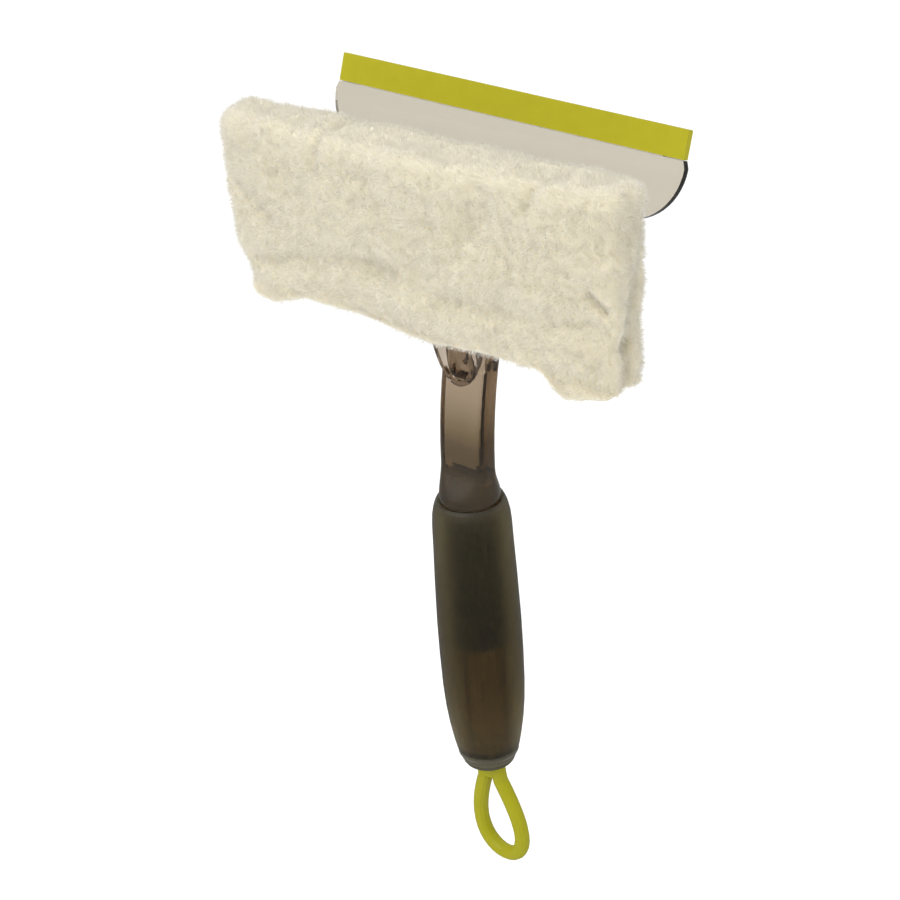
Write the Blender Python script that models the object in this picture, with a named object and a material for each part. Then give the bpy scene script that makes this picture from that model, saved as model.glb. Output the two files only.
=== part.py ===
"""A hand-held window squeegee with a scrubber pad, a soft grip and a hanging loop.

Metres, +Z up. The grip's axis is the Z axis and the origin is the centre of the grip's lower end.
X runs along the blade, the pad faces -Y and the blade's plate leans back towards +Y.
"""

import math

import bmesh
import bpy
from mathutils import Matrix, Vector

# Clearances
GAP = 0.0003  # between touching pieces
LOOP_CLEARANCE = 0.0005  # at each side of the loop's root
PAST = 0.002  # cutters run this far past the faces that they open

# Soft grip
GRIP_LENGTH = 0.138
GRIP_FOOT_Z = 0.0030  # the end plug shows below it
GRIP_END_RADIUS = 0.0124
GRIP_BELLY_RADIUS = 0.0187
GRIP_SHOULDER_RADIUS = 0.0174
GRIP_RIM_RADIUS = 0.0149
GRIP_BORE_RADIUS = 0.0138
GRIP_MOUTH_RADIUS = 0.0112  # opening at the lower end, round the plug
GRIP_LIP_HEIGHT = 0.0030
GRIP_MOUTH_CHAMFER = 0.0013  # of the bore at the rim

# Handle: tang inside the grip, neck and plate in one moulding
TANG_LENGTH = 0.070  # inside the grip
TANG_WALL = 0.0026
TANG_CAP = 0.008  # solid length between the tang's bore and the grip's rim
NECK_WIDTH = 0.0250
NECK_DEPTH = 0.0110
NECK_CORNER_RADIUS = 0.0038
NECK_FLARE_LENGTH = 0.016  # from the round tang to the flat neck, above the rim
NECK_BEND_RISE = 0.008  # start of the bend above the rim

# Plate that carries the blade
PLATE_LENGTH = 0.180
PLATE_THICKNESS = 0.0030
PLATE_SWELL = 0.0012  # each side stands this far past the blade's end
PLATE_LEAN = math.radians(21.4)
PLATE_TOP_Y = 0.0367  # front top edge
PLATE_TOP_RISE = 0.1603  # above the grip's rim
PLATE_END_DROP = 0.003  # from the top corner to the start of the round
PLATE_CORNER_RADIUS = 0.024
PLATE_EDGE_SLOPE = math.radians(10.0)
PLATE_NECK_FILLET = 0.036
PLATE_NECK_INSET = 0.0006  # the fillets end this far inside the neck's sides
NECK_SINK = 0.0004  # the neck's front lies this far behind the plate's face
RIB_END_DROP = 0.0225  # top of the neck's rib on the plate's back, below the plate's top
RIB_END_SINK = 0.0010

# Blade and its clamp. The blade straddles a tongue along the plate's top edge.
BLADE_HEIGHT = 0.0121
BLADE_TIP_THICKNESS = 0.0026
TONGUE_HEIGHT = 0.0070
TONGUE_THICKNESS = 0.0017
TONGUE_SINK = 0.0011  # of its face behind the plate's face
TONGUE_ROOT = 0.0040  # of its shape inside the plate
ROOT_END_INSET = 0.0105  # of tongue, root and clamp from the plate's ends
ROOT_THICKNESS = 0.0018
ROOT_BRIDGE = 0.0020  # height of the rubber that passes over the tongue
ROOT_CHAMFER = 0.0012
ROOT_OVERLAP = 0.001  # of the root's shape with the blade's
BEAD_THICKNESS = 0.0030
BEAD_HEIGHT = 0.0018
CLAMP_THICKNESS = 0.0024
CLAMP_CHAMFER = 0.0008
CLAMP_SCREW_SPACING = 0.060
CLAMP_SCREW_COUNT = 3
SCREW_SHANK_RADIUS = 0.0011
SCREW_HEAD_RADIUS = 0.0024
SCREW_HEAD_HEIGHT = 0.0016
SCREW_SINK = 0.0008  # of the arm's screw heads below the neck's back
TONGUE_HOLE_DEPTH = 0.0014

# Scrubber frame: arm and paddle in one moulding
ARM_FOOT_RISE = 0.0545  # above the grip's rim
ARM_SEAT_LENGTH = 0.014  # along the neck, before the two part
ARM_WIDTH = 0.0240
ARM_FOOT_ROUND = 0.0220  # height over which the foot widens to that
ARM_FOOT_THICKNESS = 0.0018
ARM_TOP_RISE = 0.008  # above the paddle's foot
ARM_FRONT_CURVE = 2.4  # powers of the rise that carry front and back forward
ARM_BACK_CURVE = 1.6
ARM_WALL = 0.0032  # beside the channel
ARM_FOOT_WALL = 0.0022  # below it
ARM_FLOOR = 0.0008
ARM_CORNER_RADIUS = 0.0014
TENON_WIDTH = 0.0130
TENON_HEIGHT = 0.0185
TENON_DEPTH = 0.0070
TENON_WALL = 0.0015
TENON_POCKET_DEPTH = 0.0030  # behind the neck's front, at the tenon's foot
TENON_TIP_COVER = 0.0008  # plastic between that pocket and the screws' tips
TENON_RISE = 0.0030  # above the arm's foot
TENON_CORNER_RADIUS = 0.0030
PADDLE_LENGTH = 0.178
PADDLE_HEIGHT = 0.0690
PADDLE_THICKNESS = 0.0030
PADDLE_CORNER_RADIUS = 0.012
PADDLE_Y = -0.0135
PADDLE_RISE = 0.035  # of its lower edge above the arm's foot
ARM_SCREW_SPACING = 0.0065

# Foam on both faces of the paddle
FOAM_THICKNESS = 0.0050
FOAM_CROWN = 0.0016
FOAM_INSET = 0.0030

# Microfibre sleeve, a pocket that is open below
SLEEVE_EASE = 0.0006
SLEEVE_FRONT_WALL = 0.0018  # at the ends, before the crown
SLEEVE_BACK_WALL = 0.0032
SLEEVE_SIDE_WALL = 0.0076  # at the hem
SLEEVE_LEFT_FLARE = (0.0073, 0.45)  # wider than that from this share of the height up
SLEEVE_RIGHT_FLARE = (0.0050, 1.0)
SLEEVE_TOP_WALL = 0.0041
SLEEVE_TOP_TILT = 0.0065  # the top rises this much from left to right
SLEEVE_CROWN = 0.0046  # of the front, at the middle
SLEEVE_SWELL = 0.0010  # of the faces, between top and hem
SLEEVE_HEM_DRAW = 0.0044  # the front's hem is drawn back to the foam this far, at the middle
SLEEVE_HEM_DRAW_HEIGHT = 0.020
SLEEVE_CORNER_RADIUS = 0.0070
SLEEVE_END_ROUND = 0.0080  # length over which the ends are drawn in
SLEEVE_END_DRAW = 0.0045  # and how far, at each side
SLEEVE_HEM = (  # share of the half width, and how far the hem hangs below the paddle there
    (-1.00, 0.0045), (-0.86, 0.0089), (-0.62, 0.0022), (-0.31, 0.0013), (0.05, 0.0043),
    (0.36, 0.0020), (0.62, 0.0013), (0.76, 0.0112), (0.93, 0.0075), (1.00, 0.0055),
)
SLEEVE_NOTCH_WIDTH = 0.033
SLEEVE_NOTCH_HEIGHT = 0.0170
SLEEVE_NOTCH_RADIUS = 0.0060
SLEEVE_STATIONS = (  # shares of the half width, closer together at the ends, the lobes and the creases
    -1.0, -0.992, -0.97, -0.94, -0.87, -0.79, -0.71, -0.63, -0.56, -0.505, -0.458, -0.41, -0.33, -0.21, -0.08,
    0.05, 0.18, 0.30, 0.42, 0.53, 0.60, 0.645, 0.69, 0.735, 0.79, 0.87, 0.94, 0.97, 0.992, 1.0,
)
SLEEVE_FRONT_STEPS = 7  # of the front face, from top to hem
SLEEVE_CREASES = (  # route as (share of the half width, y, height above the paddle's foot), width, depth
    (((-0.92, -0.025, 0.010), (-0.54, -0.027, 0.019), (-0.34, -0.028, 0.025), (-0.10, -0.029, 0.023)), 0.0065, 0.0022),
    (((0.20, -0.029, 0.019), (0.52, -0.027, 0.0215), (0.98, -0.024, 0.024)), 0.0065, 0.0018),
    (((-0.465, -0.027, 0.062), (-0.458, -0.027, 0.078), (-0.42, -0.002, 0.078)), 0.0050, 0.0018),
    (((0.65, -0.026, 0.070), (0.69, -0.026, 0.081), (0.71, -0.002, 0.081)), 0.0050, 0.0022),
)

# Core, end plug, pin and loop in the grip's lower half
CORE_FOOT_Z = 0.0066
CORE_RIB_COUNT = 8
CORE_RIB_HEIGHT = 0.0020
CORE_RIB_WIDTH = 0.0030
CORE_BORE_RADIUS = 0.0100
SPIGOT_LENGTH = 0.010
SPIGOT_ROOT = 0.010  # of the spigot inside the core
PLUG_STEM_HEIGHT = 0.0205
PLUG_FLAT_RADIUS = 0.0102
PLUG_CHAMFER = 0.0008
PIN_RADIUS = 0.0015
PIN_HEIGHT = 0.0085
LOOP_THICKNESS = 0.0071
LOOP_STRAND_SPACING = 0.0084
LOOP_HALF_WIDTH = 0.0132
LOOP_DROP = 0.0511  # lowest point of the strand's centreline
LOOP_LEAN = math.radians(7.0)
LOOP_WEB_DROP = 0.0085  # to the top of the loop's opening
LOOP_SWING = math.radians(6.0)

# Facets
ROUND_SIDES = 48
SMALL_SIDES = 16
NECK_SIDES = 40
LOOP_SIDES = 12
LOOP_POINTS = 41
ARC_STEPS = 12

# Places along Z, from the grip's length up
TANG_END_HEIGHT = GRIP_LENGTH - TANG_LENGTH
NECK_BEND_START = GRIP_LENGTH + NECK_BEND_RISE
ARM_FOOT_Z = GRIP_LENGTH + ARM_FOOT_RISE
PADDLE_FOOT_Z = ARM_FOOT_Z + PADDLE_RISE
PLATE_TOP_Z = GRIP_LENGTH + PLATE_TOP_RISE
ROOT_LENGTH = PLATE_LENGTH - 2 * ROOT_END_INSET
TANG_RADIUS = GRIP_BORE_RADIUS - GAP
TONGUE_BACK = TONGUE_SINK + TONGUE_THICKNESS
SLOT_TOP = TONGUE_HEIGHT + GAP  # of the blade's slot, above the plate's edge


def clear_scene():
    for obj in list(bpy.data.objects):
        bpy.data.objects.remove(obj, do_unlink=True)


def make_material(name, rgb, roughness, metallic=0.0, transmission=0.0):
    mat = bpy.data.materials.new(name)
    mat.use_nodes = True
    shader = mat.node_tree.nodes["Principled BSDF"]
    shader.inputs["Base Color"].default_value = (*rgb, 1.0)
    shader.inputs["Roughness"].default_value = roughness
    shader.inputs["Metallic"].default_value = metallic
    shader.inputs["Transmission Weight"].default_value = transmission
    mat.diffuse_color = (*rgb, 1.0)
    return mat


def add_mesh(name, bm, mat, smooth_angle=math.radians(35)):
    """Makes one object of a bmesh, with its faces turned outwards."""
    bmesh.ops.remove_doubles(bm, verts=bm.verts, dist=1e-6)
    bmesh.ops.recalc_face_normals(bm, faces=bm.faces)
    mesh = bpy.data.meshes.new(name)
    bm.to_mesh(mesh)
    bm.free()
    mesh.shade_smooth()
    mesh.set_sharp_from_angle(angle=smooth_angle)
    mesh.materials.append(mat)
    obj = bpy.data.objects.new(name, mesh)
    bpy.context.scene.collection.objects.link(obj)
    return obj


def combine(obj, other, operation):
    """Adds a Boolean and hides its second shape."""
    boolean = obj.modifiers.new(other.name, "BOOLEAN")
    boolean.operation = operation
    boolean.solver = "EXACT"
    boolean.object = other
    other.hide_render = True
    other.display_type = "WIRE"


def cut(obj, other):
    combine(obj, other, "DIFFERENCE")


def unite(obj, other):
    combine(obj, other, "UNION")


def ring(bm, points):
    return [bm.verts.new(point) for point in points]


def loft(rings):
    """Joins rings of points, each with the same count, into one capped body."""
    bm = bmesh.new()
    loops = [ring(bm, points) for points in rings]
    count = len(loops[0])
    for lower, upper in zip(loops, loops[1:]):
        for i in range(count):
            j = (i + 1) % count
            bm.faces.new((lower[i], lower[j], upper[j], upper[i]))
    bm.faces.new(loops[0][::-1])
    bm.faces.new(loops[-1])
    return bm


def extrude_outline(points, offset):
    """A prism of a flat outline, moved by offset."""
    offset = Vector(offset)
    return loft([points, [Vector(point) + offset for point in points]])


def lathe(profile, sides=ROUND_SIDES):
    """Spins an open profile of (radius, height) round Z. Its ends lie on the axis or meet each other."""
    bm = bmesh.new()
    verts = [bm.verts.new((radius, 0.0, height)) for radius, height in profile]
    edges = [bm.edges.new(pair) for pair in zip(verts, verts[1:])]
    bmesh.ops.spin(
        bm, geom=verts + edges, axis=(0, 0, 1), cent=(0, 0, 0), angle=math.tau, steps=sides, use_merge=True
    )
    bmesh.ops.remove_doubles(bm, verts=bm.verts, dist=1e-6)
    return bm


def rod(start, end, radius, sides=SMALL_SIDES):
    """A round bar between two points."""
    start, end = Vector(start), Vector(end)
    axis = end - start
    turn = axis.to_track_quat("Z", "Y").to_matrix()
    circle = [Vector((radius * math.cos(a), radius * math.sin(a), 0)) for a in turns(sides)]
    return loft([[start + turn @ p for p in circle], [end + turn @ p for p in circle]])


def turns(count):
    return [math.tau * i / count for i in range(count)]


def rounded_box_outline(width, height, radius, corner_steps=5):
    """Points of a rounded rectangle about the origin, counter-clockwise."""
    points = []
    for quarter, (sx, sy) in enumerate(((1, 1), (-1, 1), (-1, -1), (1, -1))):
        cx, cy = sx * (width / 2 - radius), sy * (height / 2 - radius)
        for step in range(corner_steps + 1):
            angle = math.pi / 2 * (quarter + step / corner_steps)
            points.append((cx + radius * math.cos(angle), cy + radius * math.sin(angle)))
    return points


def plate_point(x, drop, back):
    """World place of a point of the leaning plate: drop below its top edge, back from its front face."""
    y = PLATE_TOP_Y - drop * math.sin(PLATE_LEAN) + back * math.cos(PLATE_LEAN)
    z = PLATE_TOP_Z - drop * math.cos(PLATE_LEAN) - back * math.sin(PLATE_LEAN)
    return Vector((x, y, z))


def plate_direction(drop, back):
    return plate_point(0, drop, back) - plate_point(0, 0, 0)


# The neck's spine bends back at a steady rate until it runs along the plate.
NECK_BACK = NECK_SINK + NECK_DEPTH / 2  # spine behind the plate's front face
NECK_SLOPE = math.tan(PLATE_LEAN)


def neck_bend_end():
    """Height where the spine reaches the plate's own slope, so that it also lies on the plate."""
    straight = plate_point(0, 0, NECK_BACK)
    # Y at height z on the plate's spine line is straight.y - NECK_SLOPE * (straight.z - z).
    # The bend reaches NECK_SLOPE * (z - start) / 2 there, so both meet at this height.
    return 2 * (straight.z - straight.y / NECK_SLOPE) - NECK_BEND_START


NECK_BEND_END = neck_bend_end()


def neck_spine(z):
    """Y and slope of the neck's centre at height z."""
    if z <= NECK_BEND_START:
        return 0.0, 0.0
    if z >= NECK_BEND_END:
        end = NECK_SLOPE * (NECK_BEND_END - NECK_BEND_START) / 2
        return end + NECK_SLOPE * (z - NECK_BEND_END), NECK_SLOPE
    slope = NECK_SLOPE * (z - NECK_BEND_START) / (NECK_BEND_END - NECK_BEND_START)
    return slope * (z - NECK_BEND_START) / 2, slope


def neck_front(z):
    """Y of the neck's flat front face at height z."""
    y, slope = neck_spine(z)
    return y - NECK_DEPTH / 2 * math.sqrt(1 + slope * slope)


def smooth_step(value):
    value = min(max(value, 0.0), 1.0)
    return value * value * (3 - 2 * value)


def neck_ring(z, roundness, depth, back_shift=0.0):
    """A section of tang or neck: a circle at roundness 1, a rounded rectangle at 0."""
    y, slope = neck_spine(z)
    tilt = Matrix.Rotation(-math.atan(slope), 3, "X")
    corner = min(NECK_CORNER_RADIUS, 0.45 * depth)
    flat = rounded_box_outline(NECK_WIDTH, depth, corner, NECK_SIDES // 4 - 1)
    points = []
    for (fx, fy), angle in zip(flat, neck_angles()):
        round_x, round_y = TANG_RADIUS * math.cos(angle), TANG_RADIUS * math.sin(angle)
        local = Vector((
            fx + roundness * (round_x - fx),
            fy + back_shift + roundness * (round_y - fy - back_shift),
            0.0,
        ))
        points.append(Vector((0, y, z)) + tilt @ local)
    return points


def neck_angles():
    """Angles on the tang's circle, one for each point of the flat outline, starting at +X."""
    return [math.tau * (i + 0.5) / NECK_SIDES for i in range(NECK_SIDES)]


def plate_outline():
    """Half outline of the plate as (x, drop), from its top corner round to the neck."""
    half = PLATE_LENGTH / 2
    cx, cd = half + PLATE_SWELL - PLATE_CORNER_RADIUS, PLATE_END_DROP
    turn = math.pi / 2 - PLATE_EDGE_SLOPE
    points = [(half, 0.0)]
    for step in range(ARC_STEPS + 1):
        angle = turn * step / ARC_STEPS
        x = cx + PLATE_CORNER_RADIUS * math.cos(angle)
        points.append((x, cd + PLATE_CORNER_RADIUS * math.sin(angle)))
    normal = (math.sin(PLATE_EDGE_SLOPE), math.cos(PLATE_EDGE_SLOPE))
    side = NECK_WIDTH / 2 - PLATE_NECK_INSET
    both = PLATE_CORNER_RADIUS + PLATE_NECK_FILLET
    run = (cx + both * normal[0] - side - PLATE_NECK_FILLET) / math.cos(PLATE_EDGE_SLOPE)
    fx = side + PLATE_NECK_FILLET
    fd = cd + both * normal[1] + run * math.sin(PLATE_EDGE_SLOPE)
    for step in range(ARC_STEPS + 1):
        angle = math.atan2(-normal[1], -normal[0]) - turn * step / ARC_STEPS
        x = fx + PLATE_NECK_FILLET * math.cos(angle)
        points.append((x, fd + PLATE_NECK_FILLET * math.sin(angle)))
    return points


def build_handle_frame(mat):
    """Tang, neck and plate, moulded in one. The neck fades into a rib on the plate's back."""
    rings = [neck_ring(TANG_END_HEIGHT, 1.0, NECK_DEPTH), neck_ring(GRIP_LENGTH, 1.0, NECK_DEPTH)]
    flare_steps = 8
    for step in range(1, flare_steps + 1):
        part = step / flare_steps
        rings.append(neck_ring(GRIP_LENGTH + NECK_FLARE_LENGTH * part, 1 - smooth_step(part), NECK_DEPTH))
    start = GRIP_LENGTH + NECK_FLARE_LENGTH
    top = plate_point(0, RIB_END_DROP, 0).z
    end_depth = PLATE_THICKNESS - RIB_END_SINK
    rib_steps = 14
    for step in range(1, rib_steps + 1):
        z = start + (top - start) * step / rib_steps
        fade = smooth_step((z - NECK_BEND_END) / (top - NECK_BEND_END))
        depth = NECK_DEPTH + (end_depth - NECK_DEPTH) * fade
        rings.append(neck_ring(z, 0.0, depth, -(NECK_DEPTH - depth) / 2))
    frame = add_mesh("handle_frame", loft(rings), mat)

    half = plate_outline()
    outline = half + [(-x, drop) for x, drop in reversed(half)]
    front = [plate_point(x, drop, 0) for x, drop in outline]
    plate = add_mesh("plate_shape", extrude_outline(front, plate_direction(0, PLATE_THICKNESS)), mat)
    unite(frame, plate)
    tongue = [
        (TONGUE_ROOT, TONGUE_SINK),
        (-TONGUE_HEIGHT, TONGUE_SINK),
        (-TONGUE_HEIGHT, TONGUE_BACK),
        (TONGUE_ROOT, TONGUE_BACK),
    ]
    unite(frame, add_mesh("tongue_shape", along_blade(tongue, ROOT_LENGTH), mat))

    bore_top = GRIP_LENGTH - TANG_CAP
    bore = rod((0, 0, TANG_END_HEIGHT - PAST), (0, 0, bore_top), TANG_RADIUS - TANG_WALL, ROUND_SIDES)
    cut(frame, add_mesh("tang_bore", bore, mat))
    for index, (x, drop) in enumerate(clamp_screw_places()):
        ends = plate_point(x, drop, TONGUE_BACK - TONGUE_HOLE_DEPTH), plate_point(x, drop, TONGUE_BACK + PAST)
        hole = rod(*ends, SCREW_SHANK_RADIUS + GAP)
        cut(frame, add_mesh(f"tongue_hole_{index + 1}", hole, mat))
    pocket = [Vector((x, tenon_back_y() + GAP, z)) for x, z in tenon_outline(GAP)]
    cut(frame, add_mesh("tenon_pocket", extrude_outline(pocket, (0, -2 * NECK_DEPTH, 0)), mat))
    for index, z in enumerate(arm_screw_heights()):
        front_y, past_back_y = neck_front(z), neck_back_y(z) + PAST
        through = rod((0, front_y, z), (0, past_back_y, z), SCREW_SHANK_RADIUS + GAP)
        cut(frame, add_mesh(f"neck_hole_{index + 1}", through, mat))
        seat = rod((0, screw_seat_y(z), z), (0, past_back_y, z), SCREW_HEAD_RADIUS + GAP)
        cut(frame, add_mesh(f"neck_counterbore_{index + 1}", seat, mat))
    return frame


def neck_back_y(z):
    y, slope = neck_spine(z)
    return y + NECK_DEPTH / 2 * math.sqrt(1 + slope * slope)


def arm_screw_heights():
    """Both screws lie on the tenon, one above the other about its middle."""
    middle = ARM_FOOT_Z + TENON_RISE + TENON_HEIGHT / 2
    return [middle - ARM_SCREW_SPACING / 2, middle + ARM_SCREW_SPACING / 2]


def screw_seat_y(z):
    """Floor of the counterbore, so that the screw's head is sunk below the neck's back."""
    return neck_back_y(z) - SCREW_HEAD_HEIGHT - SCREW_SINK


def along_blade(section, length):
    """A prism along the blade, of a section given as (drop, back)."""
    return extrude_outline([plate_point(-length / 2, drop, back) for drop, back in section], (length, 0, 0))


def root_faces():
    """Front and back of the blade's root, behind the plate's tongue, and the drop of its top."""
    front = PLATE_THICKNESS + GAP
    return front, front + ROOT_THICKNESS, -SLOT_TOP - GAP - ROOT_BRIDGE


def build_blade(mat):
    """Rubber blade: a slab with a slot for the plate's tongue, and a root that hangs behind the tongue."""
    slab = [
        (-GAP, 0.0),
        (-BLADE_HEIGHT, 0.0),
        (-BLADE_HEIGHT, BLADE_TIP_THICKNESS),
        (-SLOT_TOP - 2 * ROOT_BRIDGE, PLATE_THICKNESS),
        (-GAP, PLATE_THICKNESS),
    ]
    blade = add_mesh("squeegee_blade", along_blade(slab, PLATE_LENGTH), mat)
    past = PLATE_THICKNESS + PAST
    slot_front = TONGUE_SINK - GAP
    slot = [(PAST, slot_front), (-SLOT_TOP, slot_front), (-SLOT_TOP, past), (PAST, past)]
    cut(blade, add_mesh("blade_slot", along_blade(slot, ROOT_LENGTH + 2 * GAP), mat))

    front, back, top = root_faces()
    overlap = PLATE_THICKNESS - ROOT_OVERLAP
    bead_back = front + BEAD_THICKNESS
    root = [
        (top, overlap),
        (top, back - ROOT_CHAMFER / 2),
        (top + ROOT_CHAMFER, back),
        (-GAP - BEAD_HEIGHT, back),
        (-GAP - BEAD_HEIGHT, bead_back),
        (-GAP, bead_back),
        (-GAP, front),
        (-SLOT_TOP - GAP, front),
        (-SLOT_TOP - GAP, overlap),
    ]
    unite(blade, add_mesh("blade_root_shape", along_blade(root, ROOT_LENGTH), mat))
    for index, (x, drop) in enumerate(clamp_screw_places()):
        ends = plate_point(x, drop, front - GAP), plate_point(x, drop, back + PAST)
        cut(blade, add_mesh(f"blade_hole_{index + 1}", rod(*ends, SCREW_SHANK_RADIUS + GAP), mat))
    return blade


def clamp_faces():
    """Front and back of the clamp strip, behind the blade's root."""
    front = root_faces()[1] + GAP
    return front, front + CLAMP_THICKNESS


def clamp_edges():
    """Drop of the clamp strip's upper and lower edge. The lower one stands on the blade's bead."""
    return root_faces()[2] + ROOT_CHAMFER, -GAP - BEAD_HEIGHT - GAP


def clamp_screw_places():
    """(x, drop) of each screw, along the middle of the clamp's flat back."""
    top, foot = clamp_edges()
    drop = (top + CLAMP_CHAMFER + foot) / 2
    middle = (CLAMP_SCREW_COUNT - 1) / 2
    return [((i - middle) * CLAMP_SCREW_SPACING, drop) for i in range(CLAMP_SCREW_COUNT)]


def build_blade_clamp(mat):
    """Strip that presses the blade's root to the plate's tongue, above the root's bead."""
    front, back = clamp_faces()
    top, foot = clamp_edges()
    section = [(top, front), (foot, front), (foot, back), (top + CLAMP_CHAMFER, back), (top, back - CLAMP_CHAMFER)]
    clamp = add_mesh("blade_clamp", along_blade(section, ROOT_LENGTH), mat)
    for index, (x, drop) in enumerate(clamp_screw_places()):
        ends = plate_point(x, drop, front - PAST), plate_point(x, drop, back + PAST)
        hole = rod(*ends, SCREW_SHANK_RADIUS + GAP)
        cut(clamp, add_mesh(f"clamp_hole_{index + 1}", hole, mat))
    return clamp


def screw_mesh(tip, seat, mat, name):
    """A pan-headed screw from its tip to the face that its head sits on."""
    tip, seat = Vector(tip), Vector(seat)
    length = (seat - tip).length
    slot_radius = 0.45 * SCREW_HEAD_RADIUS
    profile = [
        (0.0, 0.0),
        (0.4 * SCREW_SHANK_RADIUS, 0.0),
        (SCREW_SHANK_RADIUS, SCREW_SHANK_RADIUS),
        (SCREW_SHANK_RADIUS, length),
        (SCREW_HEAD_RADIUS, length),
        (SCREW_HEAD_RADIUS, length + 0.55 * SCREW_HEAD_HEIGHT),
        (0.7 * SCREW_HEAD_RADIUS, length + SCREW_HEAD_HEIGHT),
        (slot_radius, length + SCREW_HEAD_HEIGHT),
        (slot_radius, length + 0.5 * SCREW_HEAD_HEIGHT),
        (0.0, length + 0.5 * SCREW_HEAD_HEIGHT),
    ]
    obj = add_mesh(name, lathe(profile, SMALL_SIDES), mat)
    turn = (seat - tip).to_track_quat("Z", "Y").to_matrix().to_4x4()
    obj.matrix_world = Matrix.Translation(tip) @ turn
    return obj


def build_clamp_screws(mat):
    back = clamp_faces()[1]
    for index, (x, drop) in enumerate(clamp_screw_places()):
        tip = plate_point(x, drop, TONGUE_BACK - TONGUE_HOLE_DEPTH + GAP)
        screw_mesh(tip, plate_point(x, drop, back + GAP), mat, f"clamp_screw_{index + 1}")


def arm_top():
    return PADDLE_FOOT_Z + ARM_TOP_RISE


def arm_front_y(z):
    """The arm leaves the neck along its front and curves forward to the paddle's front face."""
    start = neck_front(ARM_FOOT_Z) - GAP - ARM_FOOT_THICKNESS
    part = min(max((z - ARM_FOOT_Z) / (arm_top() - ARM_FOOT_Z), 0.0), 1.0)
    return start + (PADDLE_Y - PADDLE_THICKNESS / 2 - start) * part ** ARM_FRONT_CURVE


def arm_back_y(z):
    """The arm's back lies along the neck's front up to the seat's top, then follows the arm forward."""
    seat_top = ARM_FOOT_Z + ARM_SEAT_LENGTH
    if z <= seat_top:
        return neck_front(z) - GAP
    part = min((z - seat_top) / (arm_top() - seat_top), 1.0)
    start = neck_front(seat_top) - GAP
    return start + (PADDLE_Y + PADDLE_THICKNESS / 2 - start) * part ** ARM_BACK_CURVE


def u_sections(foot, full, top, half):
    """(height, half width) up a U that rounds out between the heights foot and full, then stays at half."""
    parts = (0.10, 0.22, 0.34, 0.46, 0.58, 0.70, 0.82, 0.92, 1.0)
    sections = [(foot + (full - foot) * part * part, half * math.sin(part * math.pi / 2)) for part in parts]
    steps = 6
    return sections + [(full + (top - full) * step / steps, half) for step in range(1, steps + 1)]


def tenon_outline(ease, corner=TENON_CORNER_RADIUS):
    """Outline of the tenon in the XZ plane, with ease all round."""
    middle = ARM_FOOT_Z + TENON_RISE + TENON_HEIGHT / 2
    outline = rounded_box_outline(TENON_WIDTH + 2 * ease, TENON_HEIGHT + 2 * ease, corner)
    return [(x, middle + z) for x, z in outline]


def tenon_back_y():
    """The tenon's flat end, inside the neck."""
    return neck_front(ARM_FOOT_Z + TENON_RISE) + TENON_DEPTH


def tenon_pocket_y():
    """Floor of the pocket that runs from the arm's channel into the tenon."""
    return neck_front(ARM_FOOT_Z + TENON_RISE) + TENON_POCKET_DEPTH


def build_scrubber_frame(mat):
    """Arm with an open channel in its front, its tenon, and the flat paddle that it carries."""
    rings = []
    full = ARM_FOOT_Z + ARM_FOOT_ROUND
    for z, half in u_sections(ARM_FOOT_Z, full, arm_top(), ARM_WIDTH / 2):
        front, back = arm_front_y(z), arm_back_y(z)
        corner = min(ARM_CORNER_RADIUS, 0.4 * (back - front), 0.8 * half)
        outline = rounded_box_outline(2 * half, back - front, corner)
        rings.append([Vector((x, y + (front + back) / 2, z)) for x, y in outline])
    frame = add_mesh("scrubber_frame", loft(rings), mat)

    outline = rounded_box_outline(PADDLE_LENGTH, PADDLE_HEIGHT, PADDLE_CORNER_RADIUS)
    centre_z = PADDLE_FOOT_Z + PADDLE_HEIGHT / 2
    points = [Vector((x, PADDLE_Y - PADDLE_THICKNESS / 2, centre_z + z)) for x, z in outline]
    unite(frame, add_mesh("paddle_shape", extrude_outline(points, (0, PADDLE_THICKNESS, 0)), mat))

    start_y = arm_front_y(ARM_FOOT_Z + TENON_RISE + TENON_HEIGHT) + ARM_FOOT_THICKNESS
    points = [Vector((x, start_y, z)) for x, z in tenon_outline(0.0)]
    tenon = extrude_outline(points, (0, tenon_back_y() - start_y, 0))
    unite(frame, add_mesh("tenon_shape", tenon, mat))

    outside = arm_front_y(arm_top()) - PAST
    rings = []
    for z, half in u_sections(ARM_FOOT_Z + ARM_FOOT_WALL, full, PADDLE_FOOT_Z, ARM_WIDTH / 2 - ARM_WALL):
        floor = arm_back_y(z) - ARM_FLOOR
        corners = (-half, outside), (half, outside), (half, floor), (-half, floor)
        rings.append([Vector((x, y, z)) for x, y in corners])
    cut(frame, add_mesh("arm_channel", loft(rings), mat))
    corner = TENON_WIDTH / 2 - TENON_WALL - GAP
    pocket = [Vector((x, outside, z)) for x, z in tenon_outline(-TENON_WALL, corner)]
    cut(frame, add_mesh("tenon_hollow", extrude_outline(pocket, (0, tenon_pocket_y() - outside, 0)), mat))
    for index, z in enumerate(arm_screw_heights()):
        hole = rod((0, arm_screw_tip_y() - GAP, z), (0, tenon_back_y() + PAST, z), SCREW_SHANK_RADIUS + GAP)
        cut(frame, add_mesh(f"arm_hole_{index + 1}", hole, mat))
    return frame


def arm_screw_tip_y():
    """The screw's tip stays behind the floor of the tenon's pocket."""
    return tenon_pocket_y() + TENON_TIP_COVER


def build_arm_screws(mat):
    for index, z in enumerate(arm_screw_heights()):
        screw_mesh((0, arm_screw_tip_y(), z), (0, screw_seat_y(z) + GAP, z), mat, f"arm_screw_{index + 1}")


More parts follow.
